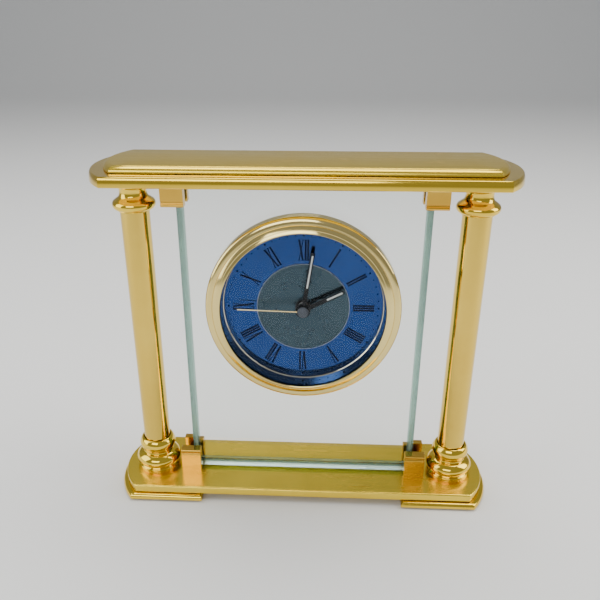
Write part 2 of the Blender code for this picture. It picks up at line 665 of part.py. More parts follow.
def make_case(axis):
    """Bezel, lens, reflector ring, dial, rubber sleeve and the cup behind them."""
    outer = CASE_RADIUS + BEZEL_OVERHANG
    groove_radius = outer - BEZEL_RING
    bore = CASE_RADIUS + GAP
    ring = [(groove_radius + BEZEL_RING * math.cos(a), BEZEL_EDGE + BEZEL_RING_RISE * math.sin(a))
            for a in (math.radians(angle) for angle in (90, 65, 40, 15))]
    bezel = [(outer, BEZEL_BACK + 0.0003), (outer - 0.0003, BEZEL_BACK), (bore, BEZEL_BACK),
             (bore, LIP_BACK), (OPENING_RADIUS, LIP_BACK), (OPENING_RADIUS, BEZEL_CREST - 0.0002),
             (OPENING_RADIUS + 0.0004, BEZEL_CREST), (OPENING_RADIUS + 0.0009, BEZEL_CREST - 0.0002),
             (groove_radius, BEZEL_EDGE + BEZEL_RING_RISE + 0.0003)]
    turned("bezel", bezel + ring, POLISHED, FINE, parent=axis)
    turned("lens", disc(bore - GAP, CRYSTAL_FRONT, CRYSTAL_BACK), LENS, FINE, parent=axis)
    reflector = [(OPENING_RADIUS, CASE_FRONT), (DIAL_RADIUS, CASE_FRONT),
                 (DIAL_RADIUS, DIAL_FRONT + GAP), (OPENING_RADIUS - REFLECTOR_TAPER, DIAL_FRONT + GAP)]
    turned("reflector_ring", reflector, POLISHED, FINE, parent=axis)
    turned("dial_plate", disc(DIAL_RADIUS, DIAL_FRONT, DIAL_BACK, DIAL_HOLE_RADIUS), SILVER, FINE,
           parent=axis)
    disc_front = DIAL_FRONT + GAP + CENTRE_DISC_THICK
    turned("centre_disc", disc(CENTRE_DISC_RADIUS, disc_front, DIAL_FRONT + GAP, DIAL_HOLE_RADIUS),
           CHAMPAGNE, MEDIUM, parent=axis)
    turned("rubber_sleeve", disc(CASE_RADIUS + GAP + SLEEVE_THICK, GLASS_HALF_THICK,
                                 -GLASS_HALF_THICK - 0.002, CASE_RADIUS + GAP), RUBBER, FINE, parent=axis)
    cup = [(0, BACK_INNER), (CASE_BORE, BACK_INNER), (CASE_BORE, CASE_FRONT),
           (CASE_RADIUS, CASE_FRONT), (CASE_RADIUS, BACK_OUTER + 0.001),
           (CASE_RADIUS - 0.001, BACK_OUTER), (0, BACK_OUTER)]
    case = turned("insert_case", cup, BLACK_PLASTIC, FINE, parent=axis)
    low = (-BAY_HALF_LENGTH, BATTERY_Y - BAY_HEIGHT / 2, BACK_OUTER - 0.01)
    high = (BAY_HALF_LENGTH, BATTERY_Y + BAY_HEIGHT / 2, BACK_INNER + 0.001)
    cut(case, pocket("battery_window", low, high, axis), stem_hole("case_stem_hole", axis))


# ---------------------------------------------------------------- insert clock: movement

def make_movement(axis):
    """Moulded movement case with a wheel chamber and a battery bay, and its cover."""
    half = MOVEMENT_SIDE / 2
    block = box("movement_case", (-half, -half, MOVEMENT_BACK), (half, half, MOVEMENT_FRONT),
                BLACK_PLASTIC, axis)
    corners = bmesh.new()
    corners.from_mesh(block.data)
    upright = [e for e in corners.edges if abs(e.verts[0].co.z - e.verts[1].co.z) > 0.001]
    bmesh.ops.bevel(corners, geom=upright, offset=MOVEMENT_CORNER, segments=3, affect="EDGES",
                    profile=0.5)
    corners.to_mesh(block.data)
    corners.free()
    inner = half - MOVEMENT_WALL
    chamber = pocket("wheel_chamber", (-inner, TRAIN_FLOOR, MOVEMENT_BACK - 0.01),
                     (inner, inner, CHAMBER_FLOOR), axis)
    bay = pocket("battery_bay", (-BAY_HALF_LENGTH, BATTERY_Y - BAY_HEIGHT / 2, MOVEMENT_BACK - 0.01),
                 (BAY_HALF_LENGTH, BATTERY_Y + BAY_HEIGHT / 2, CHAMBER_FLOOR), axis)
    bush_bore = hole("bush_bore", BUSH_BORE, (0, 0, MOVEMENT_BACK), (0, 0, MOVEMENT_FRONT + 0.01),
                     parent=axis)
    cut(block, chamber, bay, bush_bore)
    low = (-inner + GAP, TRAIN_FLOOR + GAP, MOVEMENT_BACK)
    high = (inner - GAP, inner - GAP, MOVEMENT_BACK + COVER_THICK)
    cover = box("movement_cover", low, high, BLACK_PLASTIC, axis)
    cut(cover, stem_hole("cover_stem_hole", axis))


def make_train(axis):
    """Wheels from the rotor to the hands. Each is turned about its own staff."""
    hour_front = DIAL_FRONT + HOUR_HAND_HEIGHT + HAND_THICK + GAP
    minute_front = DIAL_FRONT + MINUTE_HAND_HEIGHT + HAND_THICK + GAP
    second_front = DIAL_FRONT + SECOND_HAND_HEIGHT + HAND_THICK
    back = WHEEL_THICK
    motion_pinion = CENTRE_PINION * (1 + MOTION_RATIO) / (1 + HOUR_WHEEL_RATIO)
    hour_wheel = HOUR_WHEEL_RATIO * motion_pinion
    turned("hour_wheel", [(HOUR_BORE, hour_front), (HOUR_PIPE, hour_front), (HOUR_PIPE, level(0)),
                          (hour_wheel, level(0)), (hour_wheel, level(0) - back),
                          (HOUR_BORE, level(0) - back)], WHITE_PLASTIC, parent=axis)
    centre_wheel = CENTRE_WHEEL_RATIO * THIRD_PINION
    turned("centre_wheel", [(MINUTE_BORE, minute_front), (MINUTE_PIPE, minute_front),
                            (MINUTE_PIPE, level(1)), (CENTRE_PINION, level(1)),
                            (CENTRE_PINION, level(2)), (centre_wheel, level(2)),
                            (centre_wheel, level(2) - back), (MINUTE_BORE, level(2) - back)],
           WHITE_PLASTIC, parent=axis)
    second_wheel = SECOND_WHEEL_RATIO * FIFTH_PINION
    third_reach = THIRD_PINION * (1 + CENTRE_WHEEL_RATIO)
    second_pinion = third_reach / (1 + THIRD_WHEEL_RATIO)
    turned("second_wheel", [(0, second_front), (SECOND_ARBOR_RADIUS, second_front),
                            (SECOND_ARBOR_RADIUS, level(3)), (second_wheel, level(3)),
                            (second_wheel, level(3) - back), (second_pinion, level(3) - back),
                            (second_pinion, level(4) - back), (0, level(4) - back)],
           WHITE_PLASTIC, parent=axis)
    turned("motion_wheel", [(0, level(0)), (motion_pinion, level(0)), (motion_pinion, level(1)),
                            (MOTION_RATIO * CENTRE_PINION, level(1)),
                            (MOTION_RATIO * CENTRE_PINION, level(1) - back), (0, level(1) - back)],
           WHITE_PLASTIC, place=MOTION_PLACE, parent=axis)
    third_place = staff_place(third_reach + GAP, THIRD_ANGLE)
    third_wheel = THIRD_WHEEL_RATIO * second_pinion
    turned("third_wheel", [(0, level(2)), (THIRD_PINION, level(2)), (THIRD_PINION, level(2) - back),
                           (STAFF_RADIUS, level(2) - back), (STAFF_RADIUS, level(4)),
                           (third_wheel, level(4)), (third_wheel, level(4) - back),
                           (0, level(4) - back)], WHITE_PLASTIC, place=third_place, parent=axis)
    fifth_place = staff_place(FIFTH_PINION * (1 + SECOND_WHEEL_RATIO) + GAP, FIFTH_ANGLE)
    fifth_wheel = FIFTH_WHEEL_RATIO * ROTOR_PINION
    turned("fifth_wheel", [(0, level(3)), (FIFTH_PINION, level(3)), (FIFTH_PINION, level(3) - back),
                           (STAFF_RADIUS, level(3) - back), (STAFF_RADIUS, level(5)),
                           (fifth_wheel, level(5)), (fifth_wheel, level(5) - back),
                           (0, level(5) - back)], WHITE_PLASTIC, place=fifth_place, parent=axis)
    rotor_place = staff_place(ROTOR_PINION * (1 + FIFTH_WHEEL_RATIO) + GAP, ROTOR_ANGLE, fifth_place)
    rotor_front = level(5) - back - 0.0006
    turned("rotor", [(0, level(5)), (ROTOR_PINION, level(5)), (ROTOR_PINION, rotor_front),
                     (ROTOR_RADIUS, rotor_front), (ROTOR_RADIUS, rotor_front - ROTOR_THICK),
                     (0, rotor_front - ROTOR_THICK)], STEEL, place=rotor_place, parent=axis)
    return rotor_place, rotor_front


def make_drive(axis, rotor_place, rotor_front):
    """Stator, coil, circuit board and quartz can that step the rotor."""
    x, y, _ = rotor_place
    middle = rotor_front - ROTOR_THICK / 2
    stator = box("stator", (-STATOR_HALF_LENGTH, y - STATOR_HALF_WIDTH, middle - STATOR_THICK / 2),
                 (STATOR_HALF_LENGTH, y + STATOR_HALF_WIDTH, middle + STATOR_THICK / 2), STEEL, axis)
    cut(stator, hole("rotor_hole", ROTOR_RADIUS + 2 * GAP, (x, y, middle - 0.01),
                     (x, y, middle + 0.01), MEDIUM, axis))
    flange = COIL_RADIUS + COIL_FLANGE
    half = COIL_LENGTH / 2
    coil = turned("coil", [(0, half), (flange, half), (flange, half - COIL_FLANGE),
                           (COIL_RADIUS, half - COIL_FLANGE), (COIL_RADIUS, COIL_FLANGE - half),
                           (flange, COIL_FLANGE - half), (flange, -half), (0, -half)],
                  COPPER, COARSE, parent=axis)
    coil.location = (0, y + STATOR_HALF_WIDTH + GAP + flange, middle)
    coil.rotation_euler = (0, math.pi / 2, 0)
    board_front = middle - flange - GAP
    board_low = y - STATOR_HALF_WIDTH
    board = box("circuit_board", (-BOARD_HALF_LENGTH, board_low, board_front - BOARD_THICK),
                (BOARD_HALF_LENGTH, MOVEMENT_SIDE / 2 - MOVEMENT_WALL - GAP, board_front), BOARD, axis)
    quartz = turned("quartz_can", disc(QUARTZ_RADIUS, QUARTZ_LENGTH / 2, -QUARTZ_LENGTH / 2), STEEL,
                    COARSE, parent=axis)
    quartz.location = (-STATOR_HALF_LENGTH - 2 * QUARTZ_RADIUS, y, board_front + GAP + QUARTZ_RADIUS)
    quartz.rotation_euler = (math.pi / 2, 0, 0)
    return board


def make_battery(axis):
    """The cell in its open bay, with a flat contact and a spring contact."""
    half = BATTERY_LENGTH / 2
    middle = CHAMBER_FLOOR - GAP - BATTERY_RADIUS
    nub = half + BATTERY_NUB_LENGTH / 2
    shoulder = nub - BATTERY_NUB_LENGTH
    cell = turned("battery", [(0, nub), (BATTERY_NUB_RADIUS, nub), (BATTERY_NUB_RADIUS, shoulder),
                              (BATTERY_RADIUS, shoulder), (BATTERY_RADIUS, -half + 0.0005), (0, -half + 0.0005)],
                  CELL, MEDIUM, parent=axis)
    cell.location = (0, BATTERY_Y, middle)
    cell.rotation_euler = (0, math.pi / 2, 0)
    wide = BATTERY_RADIUS * 0.7
    end = BAY_HALF_LENGTH - GAP
    box("contact_flat", (end - CONTACT_THICK, BATTERY_Y - wide, middle - wide),
        (end, BATTERY_Y + wide, middle + wide), STEEL, axis)
    spring = turned("contact_spring", [(0, CONTACT_SPRING), (0.0012, CONTACT_SPRING),
                                       (wide, CONTACT_THICK), (wide, 0), (0, 0)], STEEL, COARSE,
                    parent=axis)
    spring.location = (-end, BATTERY_Y, middle)
    spring.rotation_euler = (0, math.pi / 2, 0)


def make_knob(axis):
    """Setting knob: a fluted head behind the case, on a stem that turns the motion wheel."""
    head_front = BACK_OUTER - GAP
    stem_front = level(1) - WHEEL_THICK - GAP
    knob = turned("set_knob", [(0, stem_front), (KNOB_STEM_RADIUS, stem_front),
                               (KNOB_STEM_RADIUS, head_front), (KNOB_RADIUS, head_front),
                               (KNOB_RADIUS, head_front - KNOB_THICK + 0.0006),
                               (KNOB_RADIUS - 0.0006, head_front - KNOB_THICK),
                               (0, head_front - KNOB_THICK)], BLACK_PLASTIC, place=MOTION_PLACE,
                  parent=axis)
    work = bmesh.new()
    for number in range(KNOB_FLUTES):
        turn = math.tau * (number + 0.5) / KNOB_FLUTES
        reach = KNOB_RADIUS + 0.0003
        spot = Matrix.Translation((reach * math.cos(turn), reach * math.sin(turn), head_front))
        bmesh.ops.create_cone(work, cap_ends=True, segments=8, radius1=0.0008, radius2=0.0008,
                              depth=4 * KNOB_THICK, matrix=spot)
    mesh = bpy.data.meshes.new("knob_flutes")
    work.to_mesh(mesh)
    work.free()
    flutes = add_object("knob_flutes", mesh, None, group=CUTTERS, place=MOTION_PLACE, parent=axis)
    cut(knob, as_cutter(flutes))


# ---------------------------------------------------------------- hands

def hand_outline(length, width, boss):
    """Plan of a hand along +Y: a round boss and a parallel blade with a blunt tip."""
    sides = 12
    start = math.asin(0.5 * width / boss)
    turn = (math.tau - 2 * start) / sides
    angles = [math.pi / 2 + start + turn * i for i in range(sides + 1)]
    ring = [(boss * math.cos(a), boss * math.sin(a)) for a in angles]
    half, tip = 0.46 * width, 0.36 * width
    return ring + [(half, length - 0.0003), (tip, length), (-tip, length), (-half, length - 0.0003)]


def make_hand(name, axis, length, width, boss, height, angle, bore, material):
    """A flat hand with a round boss, bored to go over its pipe and turned to its place."""
    bottom = DIAL_FRONT + height
    plan = hand_outline(length, width, boss)
    hand = slab(name, plan, bottom, bottom + HAND_THICK, material, parent=axis)
    hand.rotation_euler = (0, 0, -math.radians(angle))
    cut(hand, hole(f"{name}_bore", bore, (0, 0, bottom - 0.005), (0, 0, bottom + 0.005), parent=axis))
    return hand


def make_second_hand(axis):
    """A thin parallel hand with a tail, joined to its round boss, and the cap over it."""
    bottom = DIAL_FRONT + SECOND_HAND_HEIGHT
    half = SECOND_HAND_WIDTH / 2
    hand = box("second_hand", (-half, -SECOND_HAND_TAIL, bottom),
               (half, SECOND_HAND_LENGTH, bottom + HAND_THICK), GILT, axis)
    boss = rod("second_hand_boss", 0.0016, (0, 0, bottom - 0.0001), (0, 0, bottom + HAND_THICK + 0.0001),
               COARSE, parent=axis, group=CUTTERS)
    join(hand, boss)
    cut(hand, hole("second_hand_bore", SECOND_ARBOR_RADIUS + ARBOR_CLEARANCE,
                   (0, 0, bottom - 0.005), (0, 0, bottom + 0.005), parent=axis))
    hand.rotation_euler = (0, 0, -math.radians(SECOND_HAND_ANGLE))
    cap_back = bottom + HAND_THICK + GAP
    turned("hand_cap", [(0, cap_back + CAP_THICK), (CAP_RADIUS - 0.0004, cap_back + CAP_THICK),
                        (CAP_RADIUS, cap_back + CAP_THICK - 0.0003), (CAP_RADIUS, cap_back),
                        (0, cap_back)], GREY_PAINT, parent=axis)


def make_hands(axis):
    make_hand("hour_hand", axis, HOUR_HAND_LENGTH, HOUR_HAND_WIDTH, BOSS_RADIUS,
              HOUR_HAND_HEIGHT, HOUR_HAND_ANGLE, HOUR_PIPE + ARBOR_CLEARANCE, BLACK_PAINT)
    make_hand("minute_hand", axis, MINUTE_HAND_LENGTH, MINUTE_HAND_WIDTH, BOSS_RADIUS,
              MINUTE_HAND_HEIGHT, MINUTE_HAND_ANGLE, MINUTE_PIPE + ARBOR_CLEARANCE, BLACK_PAINT)
    make_second_hand(axis)


# ---------------------------------------------------------------- the whole clock

make_base()
make_top()
make_columns()
make_clips()
make_glass()
DIAL_AXIS = new_axis("dial_axis")
make_case(DIAL_AXIS)
make_movement(DIAL_AXIS)
ROTOR_PLACE, ROTOR_FRONT = make_train(DIAL_AXIS)
make_drive(DIAL_AXIS, ROTOR_PLACE, ROTOR_FRONT)
make_battery(DIAL_AXIS)
make_knob(DIAL_AXIS)
make_hands(DIAL_AXIS)
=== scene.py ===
# %% [markdown]
# # A brass and glass mantel clock
# The clock has a stepped brass top on two columns, a footed base plate, and a thick glass panel
# that carries a round quartz insert clock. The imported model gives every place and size. Here each
# visible piece gets its true section, its edges and its finish.

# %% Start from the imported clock
import math

import bmesh
import bpy
import numpy as np
from mathutils import Matrix, Vector


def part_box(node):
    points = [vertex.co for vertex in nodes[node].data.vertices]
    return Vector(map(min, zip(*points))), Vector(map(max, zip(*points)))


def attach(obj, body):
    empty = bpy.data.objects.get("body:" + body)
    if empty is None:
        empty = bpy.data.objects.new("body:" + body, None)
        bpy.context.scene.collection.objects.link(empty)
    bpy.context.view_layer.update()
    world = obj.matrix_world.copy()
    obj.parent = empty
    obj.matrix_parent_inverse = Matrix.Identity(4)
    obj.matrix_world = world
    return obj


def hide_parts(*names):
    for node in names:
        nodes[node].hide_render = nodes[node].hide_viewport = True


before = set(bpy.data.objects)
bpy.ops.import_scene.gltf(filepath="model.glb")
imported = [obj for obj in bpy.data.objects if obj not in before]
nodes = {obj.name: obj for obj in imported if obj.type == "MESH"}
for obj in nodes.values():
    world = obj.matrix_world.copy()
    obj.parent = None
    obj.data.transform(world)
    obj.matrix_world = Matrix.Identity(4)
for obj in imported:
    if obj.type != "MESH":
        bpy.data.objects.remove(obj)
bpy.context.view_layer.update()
print("pieces in the packed clock:", len(nodes))

# %% [markdown]
# ## The view
# The camera stands above the clock's middle and looks down at it by about 25 degrees. It is close,
# so the top looks wider than the base. A slight shift keeps the clock in the frame without turning
# the camera.

# %% Camera
eye = Vector((0.00944, -0.31157, 0.24246))
right = Vector((0.99871, 0.05072, -0.00151)).normalized()
forward = Vector((-0.04643, 0.90135, -0.43060)).normalized()
up = right.cross(forward)
lens = bpy.data.cameras.new("view")
lens.sensor_width = 36.0
lens.lens = 41.18
lens.shift_x = 0.0162
lens.shift_y = 0.0418
lens.clip_start = 0.01
camera = bpy.data.objects.new("view", lens)
camera.matrix_world = Matrix((right, up, -forward)).transposed().to_4x4()
camera.location = eye
bpy.context.scene.collection.objects.link(camera)
bpy.context.scene.camera = camera
print("camera at", [round(v, 3) for v in eye])

# %% [markdown]
# ## Helpers for surfaces
# Nearly every piece of this clock is either turned on a lathe or planed along an edge, so it is a
# section carried round a path. That is a grid of points: one direction runs along the section, the
# other along the path. One function turns any grid into a closed skin.

# %% From a grid of points to a piece
SMOOTH_ANGLE = math.radians(32)
SAME_POINT = 1e-6
MM = 0.001


def piece(name, points, faces, body, material, slot=None, instead_of=(), sharp=SMOOTH_ANGLE):
    """A mesh piece from points and faces. Doubles are merged and its faces are turned outwards."""
    mesh = bpy.data.meshes.new(name)
    mesh.from_pydata(np.asarray(points, float).tolist(), [], faces)
    work = bmesh.new()
    work.from_mesh(mesh)
    bmesh.ops.remove_doubles(work, verts=work.verts, dist=SAME_POINT)
    bmesh.ops.recalc_face_normals(work, faces=work.faces)
    work.to_mesh(mesh)
    work.free()
    mesh.materials.append(material)
    mesh.shade_smooth()
    mesh.set_sharp_from_angle(angle=sharp)
    made = bpy.data.objects.new(name, mesh)
    bpy.context.scene.collection.objects.link(made)
    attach(made, body)
    if instead_of:
        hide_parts(*instead_of)
    return made


def grid_faces(rows, columns, wrap_rows=False, wrap_columns=False):
    """Quads of a grid: point (i, j) is joined to (i+1, j), (i+1, j+1) and (i, j+1)."""
    i, j = np.meshgrid(np.arange(rows if wrap_rows else rows - 1),
                       np.arange(columns if wrap_columns else columns - 1), indexing="ij")
    i_next, j_next = (i + 1) % rows, (j + 1) % columns
    corners = [i * columns + j, i_next * columns + j,
               i_next * columns + j_next, i * columns + j_next]
    return np.stack(corners, -1).reshape(-1, 4).tolist()


def skin(name, grid, body, material, wrap_rows=False, wrap_columns=False, **more):
    """A piece from a grid of points of shape (rows, columns, 3)."""
    faces = grid_faces(*grid.shape[:2], wrap_rows, wrap_columns)
    return piece(name, grid.reshape(-1, 3), faces, body, material, **more)


def soften(made, width, angle, harden=False):
    """Takes the sharpness off a piece's corners with a small bevel of two steps."""
    edge = made.modifiers.new("soft edges", "BEVEL")
    edge.width = width
    edge.segments = 2
    edge.limit_method = "ANGLE"
    edge.angle_limit = math.radians(angle)
    edge.harden_normals = harden


# %% Sections: smooth curves through a turner's gauge points
def curve(points, steps=6):
    """A smooth curve through every point: between two points it is a cubic whose slope at each
    is half the vector from the point before to the point after (Catmull-Rom)."""
    p = np.asarray(points, float)
    p = np.vstack([2 * p[0] - p[1], p, 2 * p[-1] - p[-2]])
    t = np.linspace(0, 1, steps, endpoint=False)[None, :, None]
    a, b, c, d = (p[k:len(p) - 3 + k, None, :] for k in range(4))
    body = b + 0.5 * t * (c - a + t * (2 * a - 5 * b + 4 * c - d + t * (3 * (b - c) + d - a)))
    return np.vstack([body.reshape(-1, p.shape[1]), p[-2]])


def quarter(centre, radii, start, end, steps=8):
    """Part of an ellipse: centre plus (radius across * cos, radius up * sin), in degrees."""
    a = np.radians(np.linspace(start, end, steps + 1))
    return np.stack([centre[0] + radii[0] * np.cos(a), centre[1] + radii[1] * np.sin(a)], -1)


# %% [markdown]
# ## Finishes
# The metal is lacquered brass. Flat plates are brushed along their length, turnings and edges are
# polished. What tells brass from yellow paint is a clean reflection broken by slight differences:
# faint cloudiness in the lacquer, hairline scratches and a little darkening. Those effects are
# shared by several materials, so each is a node group.

# %% Node helpers
def add_node(tree, kind, **values):
    """A node with some of its inputs set. A key with no such input is set on the node itself."""
    made = tree.nodes.new(kind)
    for key, value in values.items():
        socket = key.replace("_", " ")
        if socket in made.inputs:
            made.inputs[socket].default_value = value
        else:
            setattr(made, key, value)
    return made


def join(tree, source, output, target, socket):
    tree.links.new(source.outputs[output], target.inputs[socket])


def spread(tree, source, output, low, high, new_low=0.0, new_high=1.0):
    """A Map Range node on a value."""
    made = add_node(tree, "ShaderNodeMapRange")
    for number, value in zip((1, 2, 3, 4), (low, high, new_low, new_high)):
        made.inputs[number].default_value = value
    join(tree, source, output, made, 0)
    return made


def new_group(name, inputs, outputs):
    """An empty shader group. Its sockets are {name: (type, default)} in and {name: type} out."""
    tree = bpy.data.node_groups.new(name, "ShaderNodeTree")
    for label, (kind, value) in inputs.items():
        socket = tree.interface.new_socket(name=label, in_out="INPUT", socket_type=kind)
        if value is not None:
            socket.default_value = value
    for label, kind in outputs.items():
        tree.interface.new_socket(name=label, in_out="OUTPUT", socket_type=kind)
    return tree, tree.nodes.new("NodeGroupInput"), tree.nodes.new("NodeGroupOutput")


# %% Shared effects: lacquer clouds, hairlines and brushed grain
FLOAT, VECTOR = "NodeSocketFloat", "NodeSocketVector"


def make_clouds():
    """Two sizes of noise: wide clouds where a cloth has wiped, and small specks of dust."""
    tree, inside, out = new_group("lacquer_clouds",
                                  {"Vector": (VECTOR, None), "Size": (FLOAT, 60.0)},
                                  {"Clouds": FLOAT, "Specks": FLOAT})
    wide = add_node(tree, "ShaderNodeTexNoise", Detail=5.0, Roughness=0.6)
    join(tree, inside, "Vector", wide, "Vector")
    join(tree, inside, "Size", wide, "Scale")
    join(tree, spread(tree, wide, "Fac", 0.35, 0.68), 0, out, "Clouds")
    fine = add_node(tree, "ShaderNodeTexVoronoi", Scale=900.0)
    join(tree, inside, "Vector", fine, "Vector")
    join(tree, spread(tree, fine, "Distance", 0.07, 0.02), 0, out, "Specks")
    return tree


def make_hairlines():
    """Noise squeezed hard across one direction, so it draws into long thin lines."""
    tree, inside, out = new_group("hairlines",
                                  {"Vector": (VECTOR, None), "Stretch": (VECTOR, (1, 1, 1))},
                                  {"Lines": FLOAT, "Bands": FLOAT})
    scaled = add_node(tree, "ShaderNodeVectorMath", operation="MULTIPLY")
    join(tree, inside, "Vector", scaled, 0)
    join(tree, inside, "Stretch", scaled, 1)
    noise = add_node(tree, "ShaderNodeTexNoise", Scale=1.0, Detail=4.0, Roughness=0.75)
    join(tree, scaled, 0, noise, "Vector")
    join(tree, spread(tree, noise, "Fac", 0.25, 0.75), 0, out, "Lines")
    slow = add_node(tree, "ShaderNodeTexNoise", Scale=0.12, Detail=2.0)
    join(tree, scaled, 0, slow, "Vector")
    join(tree, spread(tree, slow, "Fac", 0.3, 0.7), 0, out, "Bands")
    return tree


def make_rings():
    """Distance from an axis through a centre, then noise on that distance: lathe rings."""
    tree, inside, out = new_group("lathe_rings",
                                  {"Vector": (VECTOR, None), "Centre": (VECTOR, (0, 0, 0)),
                                   "Across": (VECTOR, (1, 0, 1)), "Count": (FLOAT, 4000.0)},
                                  {"Rings": FLOAT})
    moved = add_node(tree, "ShaderNodeVectorMath", operation="SUBTRACT")
    join(tree, inside, "Vector", moved, 0)
    join(tree, inside, "Centre", moved, 1)
    flat = add_node(tree, "ShaderNodeVectorMath", operation="MULTIPLY")
    join(tree, moved, 0, flat, 0)
    join(tree, inside, "Across", flat, 1)
    radius = add_node(tree, "ShaderNodeVectorMath", operation="LENGTH")
    join(tree, flat, 0, radius, 0)
    scaled = add_node(tree, "ShaderNodeMath", operation="MULTIPLY")
    join(tree, radius, "Value", scaled, 0)
    join(tree, inside, "Count", scaled, 1)
    noise = add_node(tree, "ShaderNodeTexNoise", noise_dimensions="1D", Scale=1.0, Detail=3.0)
    join(tree, scaled, 0, noise, "W")
    join(tree, noise, "Fac", out, "Rings")
    return tree


CLOUDS, HAIRLINES, RINGS = make_clouds(), make_hairlines(), make_rings()
print("shared effects:", [g.name for g in bpy.data.node_groups])


# %% A material and the groups in it
def new_material(name, colour, roughness, metallic=0.0, **inputs):
    """A Principled material, with the object's own coordinates to hang patterns on."""
    made = bpy.data.materials.new(name)
    made.use_nodes = True
    tree = made.node_tree
    shader = tree.nodes["Principled BSDF"]
    shader.inputs["Base Color"].default_value = (*colour, 1.0)
    shader.inputs["Roughness"].default_value = roughness
    shader.inputs["Metallic"].default_value = metallic
    for key, value in inputs.items():
        shader.inputs[key.replace("_", " ")].default_value = value
    place = tree.nodes.new("ShaderNodeTexCoord")
    return made, tree, shader, place


def use_group(tree, group, place, **values):
    """A shared effect in this material, hung on the object's own coordinates."""
    made = tree.nodes.new("ShaderNodeGroup")
    made.node_tree = group
    for key, value in values.items():
        made.inputs[key].default_value = value
    join(tree, place, "Object", made, "Vector")
    return made


def tint(tree, source, output, shader, dark, light):
    """Base colour between two tones, led by a mask."""
    mix = add_node(tree, "ShaderNodeMix", data_type="RGBA")
    mix.inputs["A"].default_value = (*dark, 1.0)
    mix.inputs["B"].default_value = (*light, 1.0)
    join(tree, source, output, mix, "Factor")
    join(tree, mix, "Result", shader, "Base Color")


def relief(tree, source, output, shader, distance, strength):
    """Bump led by a mask: its distance is in metres."""
    bump = add_node(tree, "ShaderNodeBump", Strength=strength, Distance=distance)
    join(tree, source, output, bump, "Height")
    join(tree, bump, "Normal", shader, "Normal")


# %% [markdown]
# ### Brass
# One recipe makes all the brass. The clouds shift its tone and gloss a little, and hairlines in a
# chosen direction make either the long brushed grain of the plates or the stray scratches of a
# polished turning.

# %% Brass in its several finishes
OLD_BRASS = (0.88, 0.82, 0.72)


def brass(name, colour, roughness, uneven, stretch, depth, coat=0.25):
    made, tree, shader, place = new_material(name, colour, roughness, 1.0, Coat_Weight=coat,
                                             Coat_Roughness=0.05)
    clouds = use_group(tree, CLOUDS, place, Size=45.0)
    lines = use_group(tree, HAIRLINES, place, Stretch=stretch)
    tone = add_node(tree, "ShaderNodeMath", operation="ADD")
    tone.use_clamp = True
    for number, (source, output) in enumerate(((lines, "Bands"), (clouds, "Clouds"))):
        half = add_node(tree, "ShaderNodeMath", operation="MULTIPLY")
        half.inputs[1].default_value = 0.5
        join(tree, source, output, half, 0)
        join(tree, half, 0, tone, number)
    dull = tuple(c * k for c, k in zip(colour, OLD_BRASS))
    tint(tree, tone, 0, shader, colour, dull)
    gloss = spread(tree, tone, 0, 0.0, 1.0, roughness, roughness + uneven)
    join(tree, gloss, 0, shader, "Roughness")
    relief(tree, lines, "Lines", shader, depth, 0.35)
    return made


POLISHED = brass("polished_brass", (0.92, 0.65, 0.07), 0.07, 0.06, (140, 140, 140), 0.00001, 0.05)
BRUSHED = brass("brushed_brass", (0.92, 0.67, 0.07), 0.20, 0.10, (25, 2600, 2600), 0.000012, 0.0)
PALE_BRASS = brass("pale_brass", (0.84, 0.69, 0.28), 0.07, 0.06, (140, 140, 140), 0.00001, 0.05)
MIRROR_BRASS = brass("mirror_brass", (0.84, 0.80, 0.66), 0.05, 0.05, (140, 140, 140), 0.00001)
CLIP_BRASS = brass("clip_brass", (0.72, 0.44, 0.06), 0.12, 0.06, (60, 900, 900), 0.000006, 0.1)
TUBE = brass("drawn_tube", (0.78, 0.55, 0.09), 0.05, 0.04, (900, 900, 30), 0.000005, 0.05)
GILT = brass("gilt_hand", (0.92, 0.72, 0.36), 0.15, 0.05, (200, 200, 200), 0.00001)


# %% Steel, plastic, rubber, felt and the rest
def plain(name, colour, roughness, metallic=0.0, size=120.0, depth=0.00003, uneven=0.15, **inputs):
    """A dull or painted finish: clouds shift its tone and gloss, and give a faint texture."""
    made, tree, shader, place = new_material(name, colour, roughness, metallic, **inputs)
    clouds = use_group(tree, CLOUDS, place, Size=size)
    darker = tuple(c * 0.78 for c in colour)
    tint(tree, clouds, "Clouds", shader, colour, darker)
    gloss = spread(tree, clouds, "Clouds", 0.0, 1.0, roughness, min(1.0, roughness + uneven))
    join(tree, gloss, 0, shader, "Roughness")
    relief(tree, clouds, "Clouds", shader, depth, 0.4)
    return made


STEEL = plain("zinc_steel", (0.62, 0.62, 0.64), 0.25, 1.0, 300.0)
BLACK_PLASTIC = plain("black_plastic", (0.018, 0.018, 0.020), 0.42, 0.0, 1500.0, 0.00008)
WHITE_PLASTIC = plain("white_plastic", (0.78, 0.77, 0.72), 0.40, 0.0, 600.0)
RUBBER = plain("sleeve_rubber", (0.022, 0.022, 0.022), 0.70, 0.0, 800.0)
BLACK_PAINT = plain("black_enamel", (0.004, 0.005, 0.007), 0.35, 0.0, 900.0, 0.00001,
                    Specular_IOR_Level=0.25)
INK = plain("dial_ink", (0.003, 0.004, 0.010), 0.55, 0.0, 900.0, 0.00001,
            Specular_IOR_Level=0.15)
LUME = plain("hand_inlay", (0.86, 0.88, 0.84), 0.45, 0.0, 1500.0, 0.00003)
GREY_CAP = plain("grey_cap", (0.085, 0.095, 0.115), 0.30, 0.6, 500.0, 0.00001)
COPPER = plain("copper_wire", (0.72, 0.33, 0.16), 0.30, 1.0, 1800.0, 0.00006)
BOARD = plain("board_green", (0.03, 0.20, 0.10), 0.35, 0.0, 700.0)
CELL = plain("cell_jacket", (0.09, 0.11, 0.15), 0.30, 0.3, 200.0, 0.00001)
